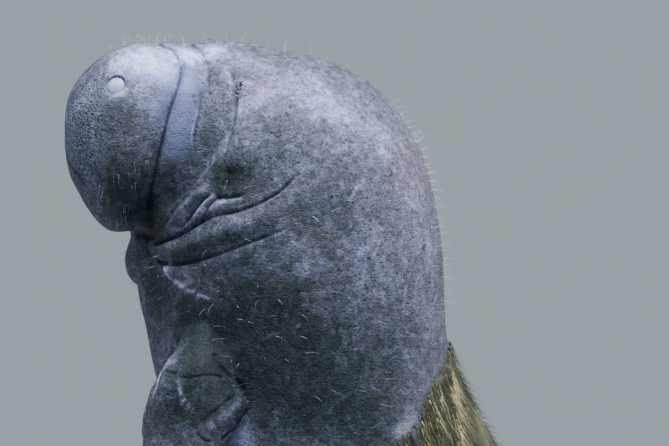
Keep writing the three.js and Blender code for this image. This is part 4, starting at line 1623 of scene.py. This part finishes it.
@dataclass
class Strands:
    """Many tapered strands of one kind in a single mesh."""

    name: str
    finish: StrandFinish
    sides: int = 3
    cuts: int = 2
    flat: float = 1.0
    tip: float = 0.2
    flare: float = 1.0
    made: list[Strand] = field(default_factory=list)

    def pattern(self) -> tuple[np.ndarray, list[tuple[int, ...]]]:
        """One strand of unit length, from a cone cut across, wider at its root where it flares.

        Returns:
            Its points, and its faces as vertex numbers.
        """
        shape = bmesh.new()
        bmesh.ops.create_cone(
            shape, cap_ends=True, cap_tris=True, segments=self.sides, radius1=1, radius2=self.tip, depth=1,
            matrix=Matrix.Translation((0, 0, 0.5)),
        )
        heights = [(i + 1) / (self.cuts + 1) for i in range(self.cuts)]
        for height in heights if self.flare == 1 else [0.09, *heights]:
            geometry = shape.verts[:] + shape.edges[:] + shape.faces[:]
            bmesh.ops.bisect_plane(shape, geom=geometry, plane_co=(0, 0, height), plane_no=(0, 0, 1))
        foot = [v for v in shape.verts if v.co.z < 0.01]
        bmesh.ops.scale(shape, vec=(self.flare, self.flare, 1), verts=foot)
        shape.verts.index_update()
        points = np.array([tuple(v.co) for v in shape.verts])
        faces = [tuple(v.index for v in f.verts) for f in shape.faces]
        shape.free()
        return points, faces

    def places(self, unit: np.ndarray) -> np.ndarray:
        """The pattern's points laid along every strand.

        Args:
            unit: the pattern's points.

        Returns:
            The points of each strand in turn.
        """
        root, head, up, bend = (
            np.array([tuple(getattr(s, key)) for s in self.made]) for key in ("root", "head", "up", "bend")
        )
        length, width, wave, phase = (
            np.array([getattr(s, key) for s in self.made])[:, None, None]
            for key in ("length", "width", "wave", "phase")
        )
        head = head / np.linalg.norm(head, axis=1, keepdims=True)
        across = np.cross(head, up + np.array([0.011, 0.007, 0.013]))
        across /= np.linalg.norm(across, axis=1, keepdims=True)
        third = np.cross(head, across)
        x, y, z = unit[None, :, 0, None], unit[None, :, 1, None], unit[None, :, 2, None]
        sway = wave * (np.sin(5.5 * z + phase) - np.sin(phase))
        points = root[:, None] + head[:, None] * z * length + bend[:, None] * z**2
        return points + across[:, None] * (x * width + sway) + third[:, None] * y * width * self.flat

    def build(self, slot: str) -> bpy.types.Object:
        """Repeats the pattern at every root.

        Args:
            slot: not used.

        Returns:
            The piece.
        """
        unit, faces = self.pattern()
        count, size = len(self.made), len(unit)
        mesh = bpy.data.meshes.new(self.name)
        whole = [tuple(i + k * size for i in face) for k in range(count) for face in faces]
        mesh.from_pydata(self.places(unit).reshape(-1, 3).tolist(), [], whole)
        mesh.polygons.foreach_set("use_smooth", [True] * len(mesh.polygons))
        layer = mesh.attributes.new("tint", "FLOAT", "POINT")
        layer.data.foreach_set("value", np.repeat(np.array([s.tint for s in self.made], np.float32), size))
        unwrap = mesh.uv_layers.new(name="OFBake")
        home = np.array([s.home for s in self.made])[:, None, :]
        patch = home + np.stack([unit[:, 0] * 0.0012, (unit[:, 2] - 0.5) * 0.003], -1)[None]
        corner = np.empty(len(mesh.loops), np.int32)
        mesh.loops.foreach_get("vertex_index", corner)
        unwrap.data.foreach_set("uv", patch.reshape(-1, 2)[corner].astype(np.float32).ravel())
        mesh.validate()
        piece = link(self.name, mesh)
        piece.data.materials.append(self.finish.material())
        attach(piece, "root")
        log.info("%s: %d strands, %d faces", self.name, count, len(mesh.polygons))
        return piece


HAIR = StrandFinish("hair", tone(96, 98, 106), tone(150, 153, 165), tone(214, 218, 230), 0.5)
ALGAE_DEEP = StrandFinish("algae_deep", tone(24, 30, 26), tone(50, 56, 46), tone(88, 88, 66), 0.85)
ALGAE_OLIVE = StrandFinish("algae_olive", tone(36, 44, 38), tone(80, 92, 68), tone(138, 146, 104), 0.8)
# Golden algae, laid mostly in the sunlit streaks, so partly painted light.
ALGAE_GOLD_SUNLIT = StrandFinish("algae_gold_sunlit", tone(84, 84, 54), tone(176, 150, 84), tone(246, 226, 180), 0.75)


@dataclass
class Coat:
    """Sparse body hairs, snout bristles and the algae on the back."""

    form: BodyForm
    where: SkinMap
    view: SideView
    hide: bpy.types.Object
    seed: int = 17
    hair_spacing: float = 0.0256
    crest_spacing: float = 0.012
    crest_half: float = 0.35
    crown_bristles: int = 120
    side_bristles: int = 170
    stubble_count: int = 700
    tree: BVHTree = field(init=False)
    chance: random.Random = field(init=False)

    def __post_init__(self) -> None:
        """Keeps the skin's surface for setting roots."""
        mesh = self.hide.data
        self.points = coordinates(mesh)
        self.tree = BVHTree.FromPolygons(
            [tuple(p) for p in self.points], [tuple(f.vertices) for f in mesh.polygons]
        )
        self.chance = random.Random(self.seed)

    def home(self, place: float, angle: float) -> tuple[float, float]:
        """A root's place on the unwrapped skin."""
        return (0.5 + angle / (2 * math.pi) * 0.98, 0.01 + 0.98 * place / self.form.last)

    def rooted(self, place: float, angle: float) -> tuple[Vector, Vector, Vector]:
        """The skin's point, outward and tailward directions at a place.

        Args:
            place: frames from the snout.
            angle: radians from the back.

        Returns:
            The point and two vectors of length 1.
        """
        wanted = Vector(self.form.skin(place, angle))
        spot, normal, _, _ = self.tree.find_nearest(wanted)
        further = Vector(self.form.skin(min(place + 0.1, self.form.last), angle))
        ahead = further - Vector(self.form.skin(place, angle))
        tailward = ahead - normal * ahead.dot(normal)
        return spot, normal, tailward.normalized()

    def spread(self, spacing: float, low: float, high: float) -> list[tuple[float, float]]:
        """Places and angles about evenly spaced over the body.

        Args:
            spacing: how far apart, in metres.
            low: the first place.
            high: the last place.

        Returns:
            A place and an angle for each root.
        """
        found: list[tuple[float, float]] = []
        place = low
        while place < high:
            here = self.form.skin(place, np.linspace(-math.pi, math.pi, 60))
            girth = np.linalg.norm(np.diff(here, axis=0), axis=1).sum()
            count = max(3, int(girth / spacing))
            for i in range(count):
                angle = -math.pi + 2 * math.pi * (i + self.chance.uniform(0, 0.95)) / count
                found.append((place + self.chance.uniform(-0.5, 0.5) * 0.12, angle))
            run = np.linalg.norm(self.form.skin(place + 0.05, 0.5) - self.form.skin(place, 0.5)) / 0.05
            place += spacing / max(run, 0.01)
        return [(min(max(p, 0.1), self.form.last - 0.1), a) for p, a in found]

    def jitter(self, amount: float) -> Vector:
        """A small random step."""
        return Vector([self.chance.uniform(-amount, amount) for _ in range(3)])

    def body_hairs(self) -> bpy.types.Object:
        """Fine pale hairs, far apart, each on a small bump, and a closer row along the back.

        Returns:
            The piece.
        """
        hairs = Strands("body_hairs", HAIR, sides=4, cuts=2, flare=3.4)
        crest = [(p, a) for p, a in self.spread(self.crest_spacing, 14, 20) if abs(a) < self.crest_half]
        for place, angle in self.spread(self.hair_spacing, 7.6, 41) + crest:
            if self.chance.random() < 0.2:
                continue
            spot, normal, tailward = self.rooted(place, angle)
            u, v = self.view.seen(spot)
            if u < 208 and 165 < v < 250:
                continue
            ridge = normal.cross(tailward) * (1 if angle > 0 else -1)
            stand = self.chance.uniform(0.45, 1.0)
            head = normal * stand + ridge * (1.1 - stand) * self.chance.uniform(0.6, 1.2)
            head += self.jitter(0.22)
            length = self.chance.uniform(0.008, 0.023)
            # Painted light: hairs are tinted paler higher up, where the overhead light falls, and darker
            # below.
            light = 0.08 + 0.92 * float(ease(spot.z, 1.75, 2.15))
            hairs.made.append(Strand(
                spot - normal * 0.0004, head, normal, tailward * length * self.chance.uniform(-0.1, 0.35),
                length, self.chance.uniform(0.00013, 0.0002), self.chance.uniform(0.1, 0.9) * light,
                self.home(place, angle),
            ))
        return hairs.build("hide")

    def bristles(self) -> bpy.types.Object:
        """Short bristles on top of the snout and longer sparse ones on its sides.

        Returns:
            The piece.
        """
        strands = Strands("snout_bristles", HAIR, sides=3, cuts=2)
        for _ in range(self.crown_bristles):
            place, angle = self.chance.uniform(3.8, 7.8), self.chance.gauss(0, 0.30)
            spot, normal, tailward = self.rooted(place, angle)
            head = normal + tailward * self.chance.uniform(-0.35, 0.35)
            length = self.chance.uniform(0.006, 0.017)
            strands.made.append(Strand(
                spot - normal * 0.001, head, tailward, tailward * length * self.chance.uniform(-0.2, 0.3),
                length, self.chance.uniform(0.00013, 0.0002), self.chance.uniform(0.4, 1.0),
                self.home(place, angle),
            ))
        for _ in range(self.side_bristles):
            place = self.chance.uniform(2.4, 5.6)
            lowest = 145 - 22 * max(place - 3.8, 0)
            angle = self.chance.choice((-1, 1)) * math.radians(self.chance.uniform(45, lowest))
            spot, normal, tailward = self.rooted(place, angle)
            u, v = self.view.seen(spot)
            if u > 136 and v > 168:
                continue
            fall = Vector((0, 0, -self.chance.uniform(0.7, 1.8)))
            head = normal * 0.35 + tailward * self.chance.uniform(-0.25, 0.25) + fall
            length = self.chance.uniform(0.005, 0.018)
            strands.made.append(Strand(
                spot - normal * 0.0006, head, normal, Vector((0, 0, -length * 0.3)), length,
                self.chance.uniform(0.00009, 0.00016), self.chance.uniform(0.0, 0.55),
                self.home(place, angle),
            ))
        return strands.build("hide")

    def stubble(self) -> bpy.types.Object:
        """Stiff short bristles of the snout's disc.

        Returns:
            The piece.
        """
        strands = Strands("disc_stubble", HAIR, sides=3, cuts=1, tip=0.4)
        for _ in range(self.stubble_count):
            place = 0.3 + 3.2 * self.chance.random() ** 0.7
            angle = self.chance.choice((-1, 1)) * math.radians(self.chance.uniform(15, 150))
            spot, normal, _ = self.rooted(place, angle)
            length = self.chance.uniform(0.001, 0.0028)
            strands.made.append(Strand(
                spot - normal * 0.0006, normal + self.jitter(0.4), Vector((0, 0, 1)),
                Vector((0, 0, -length * 0.2)), length, 0.0002, self.chance.uniform(0.0, 0.15),
                self.home(place, angle),
            ))
        return strands.build("hide")


@dataclass
class Algae:
    """Strands of algae that hang along the back, over a thin mat.

    edge gives places along the back and how many degrees round it the algae reach there. streaks gives the
    pale streaks in the side view, painted light where the algae look sunlit: across, down, lean, width and
    strength.
    """

    coat: Coat
    fringe_count: int = 7800
    edge: tuple[tuple[float, float], ...] = (
        (20.2, -30), (20.42, -10), (20.52, 3), (20.62, 15), (20.74, 26), (20.86, 32), (21, 38),
        (21.2, 42), (21.6, 48),
        (21.8, 57), (22, 64), (23, 69), (26, 76), (28, 64), (30.1, 30)
    )
    streaks: tuple[tuple[float, float, float, float, float], ...] = (
        (447, 378, 0.12, 2.8, 1.0), (467, 405, 0.34, 1.2, 0.5), (434, 405, 0.05, 2.0, 0.25)
    )

    def reach(self, place: float) -> float:
        """How far round the back the algae reaches, in radians.

        Args:
            place: frames from the snout.

        Returns:
            The angle, below 0 where no algae grow.
        """
        places, angles = zip(*self.edge)
        coarse = noise.noise(Vector((place * 6.5, 3.1, 0)))
        fine = noise.noise(Vector((place * 19, 7.7, 0)))
        ragged = 1 + 0.08 * coarse + 0.04 * fine
        return math.radians(float(np.interp(place, places, angles))) * ragged

    def sunlit(self, spot: Vector) -> float:
        """How strongly a spot lies in one of the pale streaks.

        Args:
            spot: a point in metres.

        Returns:
            0 outside the streaks, up to 1 in them.
        """
        u, v = self.coat.view.seen(spot)
        bright = 0.0
        for middle, top, lean, width, strength in self.streaks:
            offset = (u - middle - lean * (v - top)) / width
            bright = max(bright, strength * math.exp(-offset * offset) * float(ease(v, top - 20, top + 5)))
        return bright

    def mat(self) -> bpy.types.Object:
        """The thin mat under the strands.

        Returns:
            The piece.
        """
        source = bmesh.new()
        source.from_mesh(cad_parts["algae"].data)
        bmesh.ops.remove_doubles(source, verts=source.verts, dist=1e-5)
        base = link("mat_source", to_mesh("mat_source", source))
        remesh = base.modifiers.new("even", "REMESH")
        remesh.mode = "VOXEL"
        remesh.voxel_size = 0.006
        mesh = bpy.data.meshes.new_from_object(base.evaluated_get(bpy.context.evaluated_depsgraph_get()))
        bpy.data.objects.remove(base)
        points = coordinates(mesh)
        normals = directions(mesh)
        lift = np.array([noise.noise(Vector(p) * 40) + 0.6 * noise.noise(Vector(p) * 90) for p in points])
        points = points + normals * (lift * 0.0018 - 0.0008)[:, None]
        spots = self.coat.where.locate(points)
        limits = np.array([self.reach(place) for place in spots[:, 0]])
        sink = ease(np.abs(spots[:, 1]) - limits, -0.02, 0.03) * (spots[:, 0] < 24)
        for i in np.flatnonzero(sink > 0.01):
            points[i] -= np.array(self.coat.form.outward(*spots[i])) * sink[i] * 0.016
        set_coordinates(mesh, points)
        layer = mesh.attributes.new("tint", "FLOAT", "POINT")
        grain = np.array([60, 60, 12])
        tints = np.array([0.35 + 0.5 * noise.noise(Vector(p * grain)) for p in points])
        layer.data.foreach_set("value", tints.astype(np.float32))
        mesh.polygons.foreach_set("use_smooth", [True] * len(mesh.polygons))
        piece = link("algae_mat", mesh)
        piece.data.materials.append(ALGAE_DEEP.material())
        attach(piece, "root")
        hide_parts("algae")
        return piece

    def root(self, chance: random.Random, spread: float = 1.0, shy: float = 1.0) -> tuple[float, float]:
        """A random place and angle within the algae, kept to the pale streaks where shy is below 1.

        Args:
            chance: where the numbers come from.
            spread: how far past the edge it may be.
            shy: how likely it is outside the streaks.

        Returns:
            The place and the angle.
        """
        low, high = self.edge[0][0], self.edge[-1][0]
        while True:
            place = low + (high - low) * chance.random()
            limit = self.reach(place)
            if limit <= 0 or chance.random() > 0.2 + limit / 1.25:
                continue
            angle = chance.uniform(-1, 1) * limit * spread
            if chance.random() < shy + self.sunlit(Vector(self.coat.form.skin(place, angle))):
                return place, angle

    def layer(
        self, name: str, finish: StrandFinish, count: int, seed: int, long: float, width: float,
        shy: float = 1.0,
    ) -> bpy.types.Object:
        """One layer of wavy strands that run to the tail in clumps of one shade.

        Args:
            name: the piece's name.
            finish: its colours.
            count: how many strands.
            seed: fixes their places.
            long: the longest strand in metres.
            width: the widest strand's half width in metres.
            shy: how far the layer also grows outside the pale streaks, 0 to 1.

        Returns:
            The piece.
        """
        chance = random.Random(seed)
        made = Strands(name, finish, sides=3, cuts=4, flat=0.5, tip=0.1)
        for _ in range(count):
            place, angle = self.root(chance, 1.01, shy)
            spot, normal, tailward = self.coat.rooted(place, angle)
            side = normal.cross(tailward)
            drift = 0.2 * noise.noise(spot * 9) + chance.uniform(-0.1, 0.1)
            length = chance.uniform(0.2, 1.0) * long
            fall = self.fall(normal)
            head = tailward * 0.2 + fall + normal * chance.uniform(0.0, 0.22)
            head += side * (drift + chance.gauss(0, 0.1))
            bend = normal * chance.uniform(-0.2, 0.8) * length * 0.1 + fall * length * 0.15
            clump = 0.4 + 0.9 * noise.noise(Vector((spot.x * 26 + seed, spot.y * 26, spot.z * 5)))
            # Painted light: strands in the sunlit streaks get a lighter tint.
            clump += 0.35 * self.sunlit(spot) + 0.4 * noise.noise(spot * 120)
            made.made.append(Strand(
                spot + normal * chance.uniform(0.001, 0.007 + 0.004 * (1 - shy)),
                head, normal, bend, length,
                width * chance.uniform(0.35, 1.0), min(max(clump + chance.uniform(-0.2, 0.2), 0), 1),
                self.coat.home(place, angle), chance.uniform(0.0008, 0.005), chance.uniform(0, 6.28),
            ))
        return made.build("algae")

    def fall(self, normal: Vector) -> Vector:
        """The way down along the skin."""
        down = Vector((0, 0, -1))
        return down - normal * down.dot(normal)

    def fringe(self) -> bpy.types.Object:
        """Short ragged threads along the edge, and fuzz that stands off the whole mat.

        Returns:
            The piece.
        """
        chance = random.Random(11)
        made = Strands("algae_fringe", ALGAE_DEEP, sides=3, cuts=2, tip=0.2)
        low, high = self.edge[0][0], self.edge[-1][0]
        for i in range(self.fringe_count):
            if i % 2:
                place, angle = self.root(chance)
                stand, length = chance.uniform(0.4, 1.3), chance.uniform(0.006, 0.024)
            else:
                place = low + (high - low) * chance.random() ** 1.3
                limit = self.reach(place)
                if limit <= 0:
                    continue
                angle = chance.choice((-1, 1)) * limit * chance.uniform(0.93, 1.05)
                stand, length = chance.uniform(0.05, 0.4), chance.uniform(0.006, 0.03)
            spot, normal, tailward = self.coat.rooted(place, angle)
            side = normal.cross(tailward)
            head = tailward * 0.4 + self.fall(normal) * 0.5 + normal * stand
            head += side * chance.uniform(-0.7, 0.7)
            lift = 0.006 if i % 2 else 0.001
            made.made.append(Strand(
                spot + normal * lift, head, normal, tailward * length * 0.4, length,
                chance.uniform(0.0002, 0.0005), chance.random(), self.coat.home(place, angle), 0.001,
                chance.uniform(0, 6.28),
            ))
        return made.build("algae")

    def build(self) -> list[bpy.types.Object]:
        """The mat, four layers of strands and the fringe.

        Returns:
            The pieces.
        """
        layers = (
            ("algae_deep", ALGAE_DEEP, 5400, 5, 0.05, 0.0007),
            ("algae_dusky", ALGAE_DEEP, 5400, 8, 0.045, 0.0006),
            ("algae_olive", ALGAE_OLIVE, 5400, 6, 0.032, 0.0005),
            # Gold strands grow almost only in the sunlit streaks: golden algae and painted light together.
            ("algae_gold_sunlit", ALGAE_GOLD_SUNLIT, 1700, 7, 0.045, 0.00045, 0.05),
        )
        return [self.mat(), *(self.layer(*row) for row in layers), self.fringe()]


# Nails, stand and studio


HORN = PlainFinish("nail", tone(172, 160, 138), tone(112, 100, 84), 0.4, scale=160, relief=0.0003)
PAINT = PlainFinish("stand_paint", tone(62, 65, 68), tone(54, 56, 59), 0.42, 0.25, 30, 0.15)


@dataclass
class Nails:
    """Four flat nails on each flipper."""

    def build(self) -> list[bpy.types.Object]:
        """Smooth copies of the plain nails.

        Returns:
            The pieces.
        """
        made = []
        material = HORN.material()
        for name in sorted(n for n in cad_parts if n.startswith("nail_")):
            shape = bmesh.new()
            shape.from_mesh(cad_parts[name].data)
            bmesh.ops.remove_doubles(shape, verts=shape.verts, dist=1e-5)
            bmesh.ops.subdivide_edges(shape, edges=shape.edges, cuts=1, use_grid_fill=True)
            for _ in range(2):
                bmesh.ops.smooth_vert(
                    shape, verts=shape.verts, factor=0.4, use_axis_x=True, use_axis_y=True, use_axis_z=True
                )
            piece = link(name + "_horn", to_mesh(name, shape))
            piece.data.materials.append(material)
            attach(piece, "root")
            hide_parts(name)
            made.append(piece)
        return made


@dataclass
class Stand:
    """A rounded base plate with two rods in collars."""

    corner: float = 0.09
    edge: float = 0.003
    rod: float = 0.028
    collar: float = 0.07
    rise: float = 0.016

    def plate(self) -> bpy.types.Object:
        """The base plate with softened edges.

        Returns:
            The piece.
        """
        low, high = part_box("stand_base")
        size = high - low
        shape = bmesh.new()
        bmesh.ops.create_cube(shape, size=1)
        bmesh.ops.scale(shape, vec=size, verts=shape.verts)
        bmesh.ops.translate(shape, vec=(low + high) / 2, verts=shape.verts)
        upright = [e for e in shape.edges if abs(e.verts[0].co.z - e.verts[1].co.z) > size.z / 2]
        bmesh.ops.bevel(
            shape, geom=upright, offset=self.corner, affect="EDGES", segments=12, profile=0.5, material=-1
        )
        sharp = [e for e in shape.edges if e.calc_face_angle(0) > 1.0]
        rim = [e for e in sharp if abs(e.verts[0].co.z - e.verts[1].co.z) < 1e-5]
        bmesh.ops.bevel(
            shape, geom=rim, offset=self.edge, affect="EDGES", segments=3, profile=0.5, material=-1
        )
        piece = link("stand_plate", to_mesh("stand_plate", shape, False))
        return self.keep(piece, "stand_base")

    def post(self, name: str) -> bpy.types.Object:
        """One rod with its collar.

        Args:
            name: the rod's node.

        Returns:
            The piece.
        """
        low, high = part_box(name)
        centre = (low + high) / 2
        top = high.z - low.z + 0.004
        outline = (
            (0, 0), (self.collar, 0), (self.collar, self.rise - 0.002), (self.collar - 0.002, self.rise),
            (self.rod + 0.012, self.rise), (self.rod + 0.004, self.rise + 0.004),
            (self.rod, self.rise + 0.012), (self.rod, top), (0, top),
        )
        shape = bmesh.new()
        verts = [shape.verts.new((r, 0, z)) for r, z in outline]
        edges = [shape.edges.new(pair) for pair in zip(verts, verts[1:])]
        bmesh.ops.spin(
            shape, geom=verts + edges, cent=(0, 0, 0), axis=(0, 0, 1), angle=math.tau, steps=48,
            use_merge=True,
        )
        bmesh.ops.remove_doubles(shape, verts=shape.verts, dist=1e-6)
        bmesh.ops.recalc_face_normals(shape, faces=shape.faces)
        bmesh.ops.translate(shape, vec=(centre.x, centre.y, low.z), verts=shape.verts)
        mesh = to_mesh(name, shape)
        mesh.set_sharp_from_angle(angle=math.radians(35))
        return self.keep(link(name + "_steel", mesh), name)

    def keep(self, piece: bpy.types.Object, node: str) -> bpy.types.Object:
        """Dresses a piece of the stand in place of its plain node.

        Args:
            piece: the piece.
            node: the node that it replaces.

        Returns:
            The same piece.
        """
        piece.data.materials.append(PAINT.material())
        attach(piece, "root")
        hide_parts(node)
        return piece

    def build(self) -> list[bpy.types.Object]:
        """The plate and both rods."""
        return [self.plate(), self.post("stand_rod_front"), self.post("stand_rod_rear")]


@dataclass
class Studio:
    """Pale floor, soft lights and the camera."""

    view: SideView
    image: tuple[int, int] = (669, 446)

    def floor(self) -> None:
        """A wide pale floor."""
        shape = bmesh.new()
        bmesh.ops.create_circle(shape, cap_ends=True, segments=96, radius=6.5)
        bmesh.ops.translate(shape, vec=(0, 0, -0.0005), verts=shape.verts)
        piece = link("studio_floor", to_mesh("studio_floor", shape))
        shop = Shop("floor")
        radius = shop.node("ShaderNodeVectorMath", {"operation": "LENGTH"}, {0: shop.here()}, "Value")
        piece.data.materials.append(
            shop.dress(Base_Color=tone(214, 217, 219), Roughness=0.85, Alpha=radius.step(6.4, 3.2))
        )

    def world(self) -> None:
        """A pale, cool surrounding."""
        world = bpy.data.worlds.new("studio")
        world.use_nodes = True
        back = world.node_tree.nodes["Background"]
        back.inputs["Color"].default_value = (*tone(188, 202, 212), 1)
        back.inputs["Strength"].default_value = 0.7
        bpy.context.scene.world = world

    def lamp(self, name: str, place: Vector, aim: Vector, size: float, power: float, colour: tuple) -> None:
        """One soft area light.

        Args:
            name: what the light is called.
            place: where it is.
            aim: where it points.
            size: its width in metres.
            power: its power in watts.
            colour: its colour.
        """
        data = bpy.data.lights.new(name, "AREA")
        data.shape = "DISK"
        data.size = size
        data.energy = power
        data.color = colour
        lamp = bpy.data.objects.new(name, data)
        lamp.location = place
        lamp.rotation_euler = (aim - place).to_track_quat("-Z", "Y").to_euler()
        bpy.context.scene.collection.objects.link(lamp)

    def lights(self) -> None:
        """A large light overhead, a weak one in front and one behind the back."""
        head = Vector((-0.30, 0, 2.1))
        self.lamp("overhead", Vector((-0.1, -0.9, 4.4)), head, 1.8, 230, (0.97, 0.98, 1.0))
        self.lamp("front", Vector((-1.6, -3.6, 2.9)), head, 2.4, 20, (0.92, 0.96, 1.0))
        self.lamp("behind", Vector((2.6, 1.4, 3.4)), Vector((0, 0, 1.9)), 1.6, 120, (1.0, 0.97, 0.92))

    def camera(self) -> None:
        """A level camera beside the throat, on the animal's left."""
        data = bpy.data.cameras.new("camera")
        data.sensor_fit = "HORIZONTAL"
        data.sensor_width = 36
        data.lens = 36 * self.view.distance / (self.image[0] * self.view.unit)
        data.clip_start, data.clip_end = 0.02, 100
        camera = bpy.data.objects.new("camera", data)
        camera.location = Vector(THROAT) + Vector((0, -self.view.distance, 0))
        camera.rotation_euler = (math.radians(90), 0, 0)
        bpy.context.scene.collection.objects.link(camera)
        bpy.context.scene.camera = camera

    def build(self) -> None:
        """Sets the studio up."""
        self.floor()
        self.world()
        self.lights()
        self.camera()


def main() -> None:
    """Builds the animal, its stand and the studio."""
    logging.basicConfig(level=logging.INFO, format="%(name)s: %(message)s")
    form = BodyForm()
    where = SkinMap(form)
    view = SideView()
    hide = Hide(form, where, view).build()
    log.info("hide: %d faces", len(hide.data.polygons))
    for side in (1, -1):
        EyeBall(form, side).build()
        NostrilPlug(form, side).build()
    log.info("eyes and nostrils done")
    coat = Coat(form, where, view, hide)
    coat.body_hairs()
    coat.bristles()
    coat.stubble()
    for piece in Algae(coat).build():
        log.info("%s: %d faces", piece.name, len(piece.data.polygons))
    log.info("nails: %d", len(Nails().build()))
    log.info("stand: %d pieces", len(Stand().build()))
    Studio(view).build()


if __name__ == "__main__":
    main()
